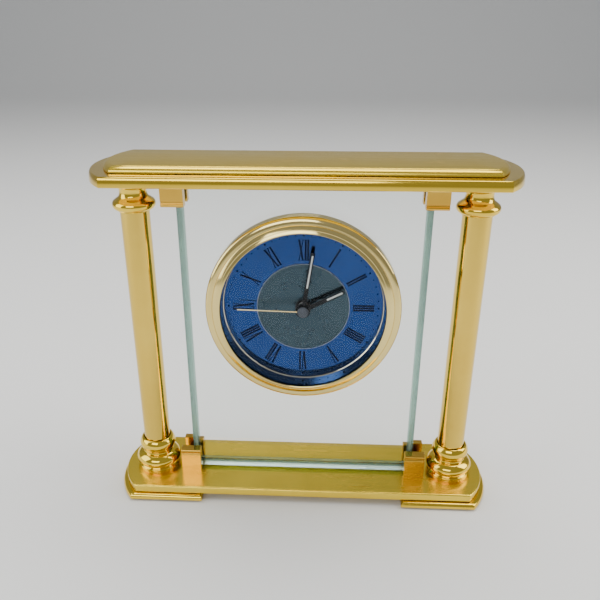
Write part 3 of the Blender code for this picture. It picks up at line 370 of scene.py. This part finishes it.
FELT = plain("green_felt", (0.035, 0.11, 0.06), 0.95, 0.0, 2500.0, 0.0002, 0.05, Sheen_Weight=0.5)

# %% [markdown]
# ### Dial metals
# The chapter ring is silver metal with a soft gloss. Its dark blue base colour is a painted
# reflection of a blue cloth in front of it. The centre is a separate, duller disc of champagne
# metal; its dark grey-green base colour is that cloth's painted reflection. Both have very faint
# lathe rings.

# %% Dial finishes
dial_low, dial_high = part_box("dial_plate")
DIAL = Vector((0.0, dial_low.y, (dial_low.z + dial_high.z) / 2))


def dial_metal(name, dark, light, roughness, ring_depth):
    made, tree, shader, place = new_material(name, light, roughness, 1.0, Coat_Weight=0.05,
                                             Coat_Roughness=0.04)
    clouds = use_group(tree, CLOUDS, place, Size=35.0)
    rings = use_group(tree, RINGS, place, Centre=tuple(DIAL), Count=1800.0)
    tint(tree, clouds, "Clouds", shader, light, dark)
    gloss = spread(tree, clouds, "Clouds", 0, 1, roughness, roughness + 0.06)
    join(tree, gloss, 0, shader, "Roughness")
    relief(tree, rings, "Rings", shader, ring_depth, 0.5)
    return made


# Painted reflection: the silver ring's dark blue base colour stands for a blue cloth it reflects.
CHAPTER = dial_metal("chapter_ring_painted_reflection_blue", (0.016, 0.048, 0.172), (0.021, 0.060, 0.202),
                     0.08, 0.000003)
# Painted reflection: the champagne disc's dark grey-green colour stands for a blue cloth it
# reflects.
CENTRE = dial_metal("centre_disc_painted_reflection_grey", (0.040, 0.066, 0.084), (0.048, 0.078, 0.096),
                    0.24, 0.0000015)


# %% [markdown]
# ### Glass
# The panel is thick clear glass, so it needs real refraction. A trace of green and a little dust
# keep it from vanishing.

# %% Panel and lens
def glass(name, colour, roughness, dust, index=1.5):
    made, tree, shader, place = new_material(name, colour, roughness, 0.0, Transmission_Weight=1.0,
                                             IOR=index)
    clouds = use_group(tree, CLOUDS, place, Size=30.0)
    join(tree, spread(tree, clouds, "Specks", 0.0, 1.0, roughness, dust), 0, shader, "Roughness")
    return made


PANEL_GLASS = glass("panel_glass", (0.95, 0.98, 0.965), 0.0, 0.12)
BEVEL_GLASS = plain("ground_bevel", (0.62, 0.86, 0.78), 0.18, 0.0, 25.0, 0.0, 0.05,
                    Transmission_Weight=0.75, IOR=1.5)
# A looks choice, not a measured one: this index is far below real glass (about 1.5), so that the
# dial stays clear of haze and noise.
LENS_GLASS = glass("lens_glass", (0.98, 0.99, 1.0), 0.0, 0.0, 1.12)
print("materials:", len(bpy.data.materials))

# %% [markdown]
# ## Plates and feet
# Each plate has straight long sides and bowed ends, and its moulding keeps the same section all the
# way round. So the plan is worked out for a given inset: the straight sides move in, and the end
# arcs keep their centre while their radius shrinks. Carrying a section of (inset, height) points
# through that plan gives the whole skin, and the last rows close onto the middle line.

# %% Plan of a plate, and a skin carried round it
SIDE_STEPS = 24
ARC_STEPS = 40


def plan(half_length, half_depth, bow, inset):
    """Outline at an inset d: sides at half depth - d, and ends on circles of radius R - d about
    the same centre, where R = (half depth^2 + bow^2) / (2 bow). Shape (points, 2), front first."""
    radius = (half_depth ** 2 + bow ** 2) / (2 * bow)
    centre = half_length + bow - radius
    side, reach = max(half_depth - inset, 0.0), radius - inset
    corner = centre + math.sqrt(max(reach ** 2 - side ** 2, 0.0))
    swing = math.asin(min(1.0, side / reach))
    run = np.linspace(-1, 1, SIDE_STEPS, endpoint=False)
    turn = np.linspace(-swing, swing, ARC_STEPS, endpoint=False)
    front = np.stack([corner * run, np.full_like(run, -side)], -1)
    end = np.stack([centre + reach * np.cos(turn), reach * np.sin(turn)], -1)
    return np.vstack([front, end, -front, -end])


def moulded_plate(name, size, section, body, material, **more):
    """Rows of the grid are the plan at each (inset, height) of the section, bottom to top. A row
    just inside each flat keeps the flats flat, and both flats close onto the middle line."""
    half_length, half_depth, bow = size
    rows = [(half_depth, section[0][1]), *section, (half_depth, section[-1][1])]
    grid = np.stack([np.column_stack([plan(half_length, half_depth, bow, d),
                                      np.full(2 * (SIDE_STEPS + ARC_STEPS), z)]) for d, z in rows])
    return skin(name, grid, body, material, wrap_columns=True, **more)


def plate_size(node, bow):
    """Half length to the corner, half depth and bow, from the CAD plate's box."""
    low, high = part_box(node)
    return (high.x - low.x) / 2 - bow, (high.y - low.y) / 2, bow


# %% Top: upper tier with its rounded edge, on the wider lower tier
UPPER_BOW, LOWER_BOW, BASE_BOW = 0.0070, 0.0103, 0.0090
upper_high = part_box("top_upper_tier")[1]
lower_low, lower_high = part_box("top_lower_tier")
base_low, base_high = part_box("base_plate")

top, low = upper_high.z, lower_high.z + 0.00005
section = np.vstack([[(0.0004, low)], [(0.0, low + 0.0002)],
                     quarter((0.0024, low + 0.0003), (0.0024, top - low - 0.0005), 180, 96, 10),
                     [(0.00245, top - 0.0001)],
                     quarter((0.0029, top - 0.0003), (0.0003, 0.0003), 150, 90, 3)])
upper_tier = moulded_plate("upper_tier", plate_size("top_upper_tier", UPPER_BOW), section, "frame",
                           BRUSHED, slot="satin_brass", instead_of=["top_upper_tier"])

top, low = lower_high.z, lower_low.z
section = np.vstack([[(0.0006, low), (0.0003, low + 0.0001), (0.0, low + 0.0004)],
                     [(0.0, low + 0.0009)],
                     quarter((0.0011, low + 0.0014), (0.0011, top - low - 0.0014), 180, 92, 8),
                     [(0.0013, top)]])
lower_tier = moulded_plate("lower_tier", plate_size("top_lower_tier", LOWER_BOW), section, "frame",
                           POLISHED, slot="polished_brass", instead_of=["top_lower_tier"])

# %% Base plate: brushed top, thin polished chamfer
top, low = base_high.z, base_low.z
section = [(0.0002, low), (0.0, low + 0.0003), (0.0, top - 0.0006), (0.0001, top - 0.0004),
           (0.0004, top - 0.0001), (0.0006, top), (0.0008, top)]
base_plate = moulded_plate("base_slab", plate_size("base_plate", BASE_BOW), section, "frame",
                           BRUSHED, slot="satin_brass", instead_of=["base_plate"])
print("plates:", upper_tier.name, lower_tier.name, base_plate.name)


# %% [markdown]
# The feet are the same plan cut off square. Here the section turns all four sides, so the plan of
# a foot is one bowed end and three straight runs, inset along its own normals.

# %% Feet
RUN_STEPS = 12
FOOT_POINTS = ARC_STEPS + 3 * RUN_STEPS


def foot_plan(low, high, side, inset):
    """Outline of a foot at an inset: inner end straight, two straight sides, one bowed end."""
    half_depth, bow = (high.y - low.y) / 2, BASE_BOW
    outer = max(abs(low.x), abs(high.x))
    inner = min(abs(low.x), abs(high.x)) + inset
    radius = (half_depth ** 2 + bow ** 2) / (2 * bow)
    centre = outer - radius
    depth, reach = max(half_depth - inset, 0.0), radius - inset
    swing = math.asin(min(1.0, depth / reach))
    corner = centre + reach * math.cos(swing)
    turn = np.linspace(-swing, swing, ARC_STEPS, endpoint=False)
    end = np.stack([centre + reach * np.cos(turn), reach * np.sin(turn)], -1)
    run = np.linspace(0, 1, RUN_STEPS, endpoint=False)
    back = np.stack([corner + (inner - corner) * run, np.full_like(run, depth)], -1)
    cut = np.stack([np.full_like(run, inner), depth - 2 * depth * run], -1)
    front = np.stack([inner + (corner - inner) * run, np.full_like(run, -depth)], -1)
    outline = np.vstack([end, back, cut, front])
    return outline * (side, 1)


def foot(word, side):
    low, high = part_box(f"foot_{word}")
    bottom, top = low.z, high.z
    middle, rise = (low.x + high.x) / 2, top - bottom - 0.0006
    section = np.vstack([[(0.0003, bottom), (0.0, bottom + 0.0003)],
                         quarter((0.0018, bottom + 0.0006), (0.0018, rise), 180, 93, 10),
                         [(0.0021, top)]])
    rows = [np.column_stack([foot_plan(low, high, side, d), np.full(FOOT_POINTS, z)])
            for d, z in section]
    heart = [np.tile((middle, 0.0, z), (FOOT_POINTS, 1)) for z in (bottom, top)]
    grid = np.stack([heart[0], *rows, heart[1]])
    return skin(f"foot_{word}_moulded", grid, "frame", POLISHED, wrap_columns=True,
                slot="polished_brass", instead_of=[f"foot_{word}"])


feet = [foot("left", -1), foot("right", 1)]
print("feet:", [f.name for f in feet])


# %% [markdown]
# ## Columns
# Base and capital are turned from bar: beads and coves flow into each other, with crisp steps
# between them. Each profile is a few smooth curves laid end to end, so the steps stay sharp.

# %% A turned piece
def turned(name, profile, centre, body, material, facing="up", steps=96, **more):
    """Each point (radius r, height h) of a closed profile goes round its axis: at angle a it is at
    (r cos a, r sin a, h) upright, or (r cos a, -h, r sin a) when it faces forward."""
    r, h = np.asarray(profile, float).T
    a = np.linspace(0, 2 * math.pi, steps, endpoint=False)[:, None]
    across, other, along = r * np.cos(a), r * np.sin(a), np.broadcast_to(h, (steps, len(h)))
    grid = (across, other, along) if facing == "up" else (across, -along, other)
    grid = np.stack(grid, -1) + np.array(centre)
    return skin(name, grid, body, material, wrap_rows=True, wrap_columns=True, **more)


# %% Column bases, tubes and capitals
def base_profile(foot_z):
    """Outside of a base turning, from its top rim down to the plate, in (radius, height)."""
    rim = curve([(7.35, 17.4), (7.9, 17.3), (8.5, 16.7), (9.25, 15.2), (9.55, 13.6), (9.2, 11.8),
                 (8.55, 10.6)], 5)
    groove = curve([(8.3, 10.4), (7.95, 9.6), (8.15, 8.9)], 4)
    torus = curve([(8.4, 8.8), (9.7, 8.2), (11.2, 6.8), (11.95, 4.9), (11.7, 3.2), (10.9, 2.0),
                   (10.5, 1.6)], 5)
    ring = curve([(10.8, 1.3), (11.3, 1.0), (11.4, 0.4), (11.3, 0.0)], 4)
    outside = np.vstack([rim, groove, torus, ring])
    inside = [(2.3, 0.0), (2.3, 11.9), (7.25, 11.9), (7.25, 17.3)]
    return np.vstack([outside, inside]) * MM + (0, foot_z)


def capital_profile(top_z):
    """Outside of a capital, from the top flange down to the lower lip."""
    flange = curve([(11.3, 0.0), (11.5, -0.3), (11.45, -0.9), (11.1, -1.25)], 4)
    cove = curve([(10.8, -1.35), (9.4, -1.8), (8.1, -2.7), (7.3, -3.75)], 5)
    bead = curve([(7.1, -3.9), (7.45, -4.5), (7.2, -5.2)], 4)
    neck = curve([(6.95, -5.4), (6.45, -6.6), (6.4, -8.2), (7.0, -10.0), (8.5, -11.2), (9.7, -12.2),
                  (10.15, -13.5), (9.9, -14.8), (9.1, -15.7), (8.2, -16.1)], 5)
    lip = curve([(7.95, -16.15), (8.0, -16.4), (7.8, -16.65), (7.3, -16.75)], 3)
    outside = np.vstack([flange, cove, bead, neck, lip])
    inside = [(7.25, -16.65), (7.25, -11.35), (2.3, -11.35), (2.3, 0.0)]
    return np.vstack([outside, inside]) * MM + (0, top_z)


TURNING_LAP = 0.0003
TUBE_WALL = 0.001
for word in ("left", "right"):
    low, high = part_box(f"column_tube_{word}")
    axis = ((low.x + high.x) / 2, (low.y + high.y) / 2, 0.0)
    radius = (high.x - low.x) / 2
    foot_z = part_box(f"column_base_{word}")[0].z - TURNING_LAP
    top_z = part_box(f"capital_{word}")[1].z + TURNING_LAP
    turned(f"base_turning_{word}", base_profile(foot_z), axis, "frame", POLISHED,
           slot="polished_brass", instead_of=[f"column_base_{word}"])
    turned(f"capital_turning_{word}", capital_profile(top_z), axis, "frame", POLISHED,
           slot="polished_brass", instead_of=[f"capital_{word}"])
    wall = [(radius, high.z), (radius, low.z), (radius - TUBE_WALL, low.z),
            (radius - TUBE_WALL, high.z)]
    turned(f"tube_{word}", wall, axis, "frame", TUBE, slot="tube_brass",
           instead_of=[f"column_tube_{word}"])
print("columns turned")


# %% [markdown]
# ## Clips
# A clip is milled from solid bar: a slot for the glass, a bead and a fine groove across each free
# end, and softened edges. The side view is carried along X, and a small bevel takes the sharpness
# off, because a milled corner always catches a line of light.

# %% Clips
def clip_side(half_slot, front, back, height):
    """Side view in (y, distance from the plate): each cheek ends in a groove and a round bead."""
    bead = 0.0010
    groove = height - 2 * bead - 0.0008

    def cheek(outer, inner, sign):
        middle, radii = (outer - sign * bead, height - bead), (sign * bead, bead)
        neck = outer - sign * 0.0005
        return np.vstack([
            [(outer, -0.0009), (outer, groove), (neck, groove + 0.0002), (neck, groove + 0.0007)],
            quarter(middle, radii, -50, 0, 4), quarter(middle, radii, 0, 60, 4),
            [(inner + sign * 0.0004, height), (inner, height - 0.0004), (inner, 0.0)]])

    return np.vstack([cheek(front, -half_slot, -1), cheek(back, half_slot, 1)[::-1]])


def clip(level, word):
    low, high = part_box(f"clip_{level}_{word}")
    plate_z, up = (base_high.z, 1) if level == "bottom" else (lower_low.z, -1)
    height = high.z - plate_z if up > 0 else plate_z - low.z
    half_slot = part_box("glass_panel")[1].y + 0.0001
    side = clip_side(half_slot, low.y, high.y, height)
    count = len(side)
    grid = np.stack([np.column_stack([np.full(count, x), side[:, 0], plate_z + up * side[:, 1]])
                     for x in (low.x, high.x)])
    ends = [list(range(count)), list(range(count, 2 * count))]
    faces = grid_faces(2, count, wrap_columns=True) + ends
    made = piece(f"clip_{level}_{word}_milled", grid.reshape(-1, 3), faces, "frame", CLIP_BRASS,
                 slot="polished_brass", instead_of=[f"clip_{level}_{word}"])
    soften(made, 0.00025, 50, harden=True)
    return made


clips = [clip(level, word) for level in ("bottom", "top") for word in ("left", "right")]
print("clips:", len(clips))

# %% [markdown]
# ## Edges of the glass
# The panel's four edges are bevelled front and back. The bevels are a little rougher than the
# faces, so they stand out as pale green strips. They are a thin skin over the glass: four rings of
# corners outside and the same four inside, each lifted along X, Y and Z.

# %% Ground bevels
PANEL_BEVEL, PANEL_LAND = 0.0027, 0.0011
SKIN_OUTSIDE, SKIN_INSIDE = 0.00005, 0.00001


def panel_ring(inset, depth, lift):
    """Corners of the panel's outline at an inset and a depth, lifted off the glass."""
    low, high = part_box("glass_panel")
    x, low_z, high_z = high.x - inset + lift, low.z + inset - lift, high.z - inset + lift
    y = depth + math.copysign(lift, depth)
    return [(-x, y, low_z), (x, y, low_z), (x, y, high_z), (-x, y, high_z)]


half_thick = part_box("glass_panel")[1].y
rings = [(PANEL_BEVEL, -half_thick), (0.0, PANEL_LAND - half_thick), (0.0, half_thick - PANEL_LAND),
         (PANEL_BEVEL, half_thick)]
bevels = np.array([panel_ring(d, y, SKIN_OUTSIDE) for d, y in rings]
                  + [panel_ring(d, y, SKIN_INSIDE) for d, y in rings[::-1]])
bevel_skin = skin("panel_bevels", bevels, "frame", BEVEL_GLASS, wrap_rows=True, wrap_columns=True,
                  slot="clear_glass")
print("glass edges:", bevel_skin.name)

# %% [markdown]
# ## Insert clock
# The bezel is spun brass: a straight rim, a convex ring, a hairline and a flat bevel that leads the
# eye to the dial. Behind the lens a conical ring mirrors the minute marks.

# %% Bezel, lens seat and mirror ring
bezel_low, bezel_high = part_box("bezel")
lens_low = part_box("lens")[0]
bezel_back, bezel_crest = -bezel_high.y, -bezel_low.y
bezel_radius = (bezel_high.x - bezel_low.x) / 2
lip_back = -lens_low.y + 0.0003
axis = (0.0, 0.0, DIAL.z)
OPENING, LENS_SEAT = 0.0400, 0.0419
RIM_DEPTH, CROWN_WIDTH, CROWN_RISE = 0.0056, 0.0036, 0.0020
BEZEL_STEPS = 160
edge, groove = bezel_back + RIM_DEPTH, bezel_radius - CROWN_WIDTH
crown = quarter((groove, edge), (CROWN_WIDTH, CROWN_RISE), 0, 86, 16)
bevel = [(groove + 0.00005, edge + 0.0018), (groove - 0.0001, edge + 0.0018),
         (groove - 0.00015, edge + 0.0021), (groove - 0.0004, edge + 0.0023),
         (OPENING + 0.0009, bezel_crest - 0.00022), (OPENING + 0.0005, bezel_crest - 0.00005),
         (OPENING + 0.0003, bezel_crest), (OPENING + 0.0001, bezel_crest - 0.0001),
         (OPENING, bezel_crest - 0.0003)]
rim = [(OPENING, lip_back), (LENS_SEAT, lip_back), (LENS_SEAT, bezel_back),
       (bezel_radius - 0.0004, bezel_back), (bezel_radius, bezel_back + 0.0004)]
turned("spun_bezel", np.vstack([crown, bevel, rim]), axis, "insert", PALE_BRASS, "forward",
       BEZEL_STEPS, slot="polished_brass", instead_of=["bezel"])

disc_low, disc_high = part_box("centre_disc")
dial_front, disc_front = -dial_low.y, -disc_low.y
MIRROR_OUTER, MIRROR_FOOT = 0.0405, 0.0389
mirror_top, mirror_low = lip_back - 0.0014, dial_front + 0.0003
mirror = [(OPENING - 0.00005, mirror_top), (MIRROR_OUTER, mirror_top), (MIRROR_OUTER, mirror_low),
          (MIRROR_FOOT, mirror_low), (MIRROR_FOOT + 0.0001, dial_front + 0.00045),
          (MIRROR_FOOT + 0.0004, dial_front + 0.0007)]
turned("mirror_ring", mirror, axis, "insert", MIRROR_BRASS, "forward", BEZEL_STEPS,
       slot="polished_brass", instead_of=["reflector_ring"])
print("bezel radius", round(bezel_radius, 4))

# %% [markdown]
# ### Numerals and minute marks
# Roman numerals are two kinds of stroke, thick and thin, with a hairline serif across each end.
# Each stroke is a four-cornered outline in its own upright frame, then turned to its hour. The ink
# stands a few hundredths of a millimetre above the metal, as a thick print does.

# %% Strokes of the numerals
NUMERAL_LOW, NUMERAL_HIGH = 0.0243, 0.0346
INK_HEIGHT = 0.00004
THICK, THIN, SERIF = 0.00082, 0.00040, 0.00026
SERIF_WIDTH = 0.0011


def turned_by(points, degrees):
    """Points turned clockwise about the dial's centre."""
    a = math.radians(degrees)
    u, v = np.moveaxis(np.asarray(points, float), -1, 0)
    return np.stack([u * math.cos(a) + v * math.sin(a), v * math.cos(a) - u * math.sin(a)], -1)


def bar(x_low, x_high, width):
    """A straight stroke from the foot line to the head line, as four (x, y) corners."""
    foot_y, head_y, half = NUMERAL_LOW, NUMERAL_HIGH, width / 2
    return [(x_low - half, foot_y), (x_low + half, foot_y),
            (x_high + half, head_y), (x_high - half, head_y)]


def serif(x, width):
    """Short hairlines across both ends of a stroke centred on x."""
    half = width / 2
    return [[(x - half, y), (x + half, y), (x + half, y + SERIF), (x - half, y + SERIF)]
            for y in (NUMERAL_LOW, NUMERAL_HIGH - SERIF)]


WIDTHS = {"I": 0.00122, "V": 0.0029, "X": 0.0031}


def letter(kind, x):
    """Strokes of one letter that starts at x."""
    wide = WIDTHS[kind]
    middle = x + wide / 2
    if kind == "I":
        return [bar(middle, middle, THICK), *serif(middle, wide * 1.02)]
    if kind == "V":
        near, far = x + 0.0006, x + wide - 0.0005
        heads = [s for c in (near, far) for s in serif(c, SERIF_WIDTH)[1:]]
        return [bar(middle + 0.0001, near, THICK), bar(middle + 0.0001, far, THIN), *heads]
    near, far = x + 0.0006, x + wide - 0.0006
    ends = [s for c in (near, far) for s in serif(c, SERIF_WIDTH)]
    return [bar(x + wide - 0.0007, near, THICK), bar(near, far, THIN), *ends]


HOURS = ["XII", "I", "II", "III", "IIII", "V", "VI", "VII", "VIII", "IX", "X", "XI"]


def numeral(text, hour):
    """All strokes of a numeral, centred, then turned clockwise by 30 degrees an hour."""
    strokes, x = [], -sum(WIDTHS[c] for c in text) / 2
    for character in text:
        strokes += letter(character, x)
        x += WIDTHS[character]
    return turned_by(strokes, 30 * hour)


def inked(name, outlines, front, material, body, height=INK_HEIGHT, **more):
    """Thin prisms from flat outlines of shape (count, corners, 2) on the dial at a given front."""
    count, corners = outlines.shape[:2]
    flat = outlines.reshape(-1, 2)

    def at(depth):
        return np.column_stack([flat[:, 0], np.full(len(flat), -depth), flat[:, 1] + DIAL.z])

    start = np.arange(count)[:, None] * corners
    ring = np.arange(corners)[None, :]
    a, b = start + ring, start + (ring + 1) % corners
    sides = np.stack([a, b, b + count * corners, a + count * corners], -1).reshape(-1, 4).tolist()
    caps = a.tolist() + (a + count * corners).tolist()
    return piece(name, np.vstack([at(front), at(front + height)]), sides + caps, body, material,
                 sharp=math.radians(30), **more)


strokes = np.concatenate([numeral(text, hour) for hour, text in enumerate(HOURS)])
inked("numerals", strokes, dial_front, INK, "insert")
print("numeral strokes:", len(strokes))

# %% Minute dots
MINUTE_RADIUS = 0.0367
minute = np.arange(60)
size = np.where(minute % 5 == 0, 0.00050, 0.00032)
corner = np.linspace(0, 2 * math.pi, 12, endpoint=False)
turn = np.radians(6.0 * minute)[:, None]
dots = np.stack([MINUTE_RADIUS * np.sin(turn) + size[:, None] * np.cos(corner),
                 MINUTE_RADIUS * np.cos(turn) + size[:, None] * np.sin(corner)], -1)
inked("minute_dots", dots, dial_front, INK, "insert")

# %% Bright line round the centre disc
LINE = 0.0001
disc = (disc_high.x - disc_low.x) / 2
rim_edge = [(disc + LINE, disc_front - LINE), (disc + LINE, dial_front), (disc - LINE, dial_front),
            (disc - LINE, disc_front + LINE), (disc, disc_front + LINE)]
turned("disc_edge", rim_edge, axis, "insert", STEEL, "forward", 128, slot="steel")


# %% [markdown]
# ### Hands
# Hour and minute hands are black batons with a pale inlay in their outer half. The seconds hand is
# a gilt needle, and a dark cap covers the hub.

# %% Baton hands
BOSS = 0.0036
INLAY_SHARE = 0.19


def baton(name, body, node, length, width, degrees, inlay):
    """A round boss and a straight blade with clipped corners, and the inlay let into its front."""
    low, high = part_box(node)
    back, thick = -high.y, high.y - low.y
    start = math.asin(0.5 * width / BOSS)
    ring = np.linspace(start, 2 * math.pi - start, 24) + math.pi / 2
    side, tip, shoulder = 0.46 * width, 0.36 * width, length - 0.0003
    outline = np.vstack([np.stack([BOSS * np.cos(ring), BOSS * np.sin(ring)], -1),
                         [(side, shoulder), (tip, length), (-tip, length), (-side, shoulder)]])
    made = inked(name, turned_by(outline, degrees)[None], back, BLACK_PAINT, body, thick,
                 slot="black_paint", instead_of=[node])
    soften(made, 0.00008, 60)
    half, (near, far) = INLAY_SHARE * width, inlay
    strip = turned_by([(-half, near), (half, near), (half, far), (-half, far)], degrees)
    inked(name + "_inlay", strip[None], back + thick - 0.00002, LUME, body, 0.00008)
    return made


hour = baton("hour_baton", "hour", "hour_hand", 0.0222, 0.0023, 63.0, (0.0129, 0.0211))
minute_hand = baton("minute_baton", "minute", "minute_hand", 0.0302, 0.0020, 8.8, (0.0122, 0.0287))
nodes["second_hand"].data.materials.clear()
nodes["second_hand"].data.materials.append(GILT)
print("hands:", hour.name, minute_hand.name)

# %% [markdown]
# ## Pieces that keep their CAD shape
# Everything else keeps its CAD shape and only gets its finish. The names sort into a few families,
# and each gets one material.

# %% Finish the carried-over nodes
FINISHES = [(("tie_", "washer", "clip_screw", "stator", "rotor", "quartz_can", "contact"), STEEL),
            (("felt",), FELT), (("glass_panel",), PANEL_GLASS), (("lens",), LENS_GLASS),
            (("dial_plate",), CHAPTER), (("centre_disc",), CENTRE), (("hand_cap",), GREY_CAP),
            (("insert_case", "movement_c", "set_knob"), BLACK_PLASTIC), (("rubber",), RUBBER),
            (("coil",), COPPER), (("circuit_board",), BOARD), (("battery",), CELL),
            (("hour_wheel", "centre_wheel", "second_wheel", "motion_wheel", "third_wheel",
              "fifth_wheel"), WHITE_PLASTIC)]
for starts, material in FINISHES:
    for name, node in nodes.items():
        if name.startswith(starts) and not node.hide_render:
            node.data.materials.clear()
            node.data.materials.append(material)
print("finished nodes:", sum(not n.hide_render for n in nodes.values()))

# %% [markdown]
# ## Studio
# A plain pale floor that curves up into a backdrop, and soft light. Polished metal shows what
# stands round it, so large soft lights hang above and stand to each side and in front.

# %% Floor and backdrop
def sheet(name, size, place, material):
    made_mesh = bpy.data.meshes.new(name)
    x, y = size[0] / 2, size[1] / 2
    made_mesh.from_pydata([(-x, -y, 0), (x, -y, 0), (x, y, 0), (-x, y, 0)], [], [(0, 1, 2, 3)])
    made_mesh.materials.append(material)
    made_sheet = bpy.data.objects.new(name, made_mesh)
    made_sheet.location = place
    bpy.context.scene.collection.objects.link(made_sheet)


floor_paint, _, _, _ = new_material("floor_paint", (0.80, 0.80, 0.79), 0.65)
sheet("floor", (8.0, 5.0), (0, -0.9, 0), floor_paint)
bend = np.vstack([quarter((1.6, 0.8), (0.8, 0.8), -90, 0, 20), [(2.4, 3.0)]])
backdrop = bpy.data.meshes.new("backdrop")
backdrop.from_pydata([(x, y, z) for y, z in bend for x in (-4.0, 4.0)], [],
                     [(2 * k, 2 * k + 1, 2 * k + 3, 2 * k + 2) for k in range(len(bend) - 1)])
backdrop.materials.append(floor_paint)
backdrop.shade_smooth()
wall = bpy.data.objects.new("backdrop", backdrop)
bpy.context.scene.collection.objects.link(wall)


# %% Lights
LAMP_TARGET = Vector((0, 0, 0.1))


def softbox(name, place, size, power, colour):
    """A rectangular soft light that faces the middle of the clock."""
    data = bpy.data.lights.new(name, "AREA")
    data.shape = "RECTANGLE"
    data.size, data.size_y = size
    data.energy = power
    data.color = colour
    lamp = bpy.data.objects.new(name, data)
    lamp.location = place
    lamp.rotation_euler = (LAMP_TARGET - Vector(place)).to_track_quat("-Z", "Y").to_euler()
    bpy.context.scene.collection.objects.link(lamp)


softbox("overhead", (0.05, 0.25, 1.1), (1.2, 0.8), 14, (1.0, 0.98, 0.95))
softbox("left_window", (-0.9, -0.2, 0.5), (0.6, 0.9), 5, (0.95, 0.98, 1.0))
softbox("right_window", (0.9, 0.0, 0.6), (0.5, 0.9), 6, (1.0, 0.99, 0.95))
softbox("front_window", (-0.35, -1.5, 0.95), (1.1, 0.6), 8, (0.97, 0.99, 1.0))
world = bpy.data.worlds.new("studio_air")
world.use_nodes = True
world.node_tree.nodes["Background"].inputs["Color"].default_value = (0.80, 0.82, 0.85, 1)
world.node_tree.nodes["Background"].inputs["Strength"].default_value = 0.42
bpy.context.scene.world = world
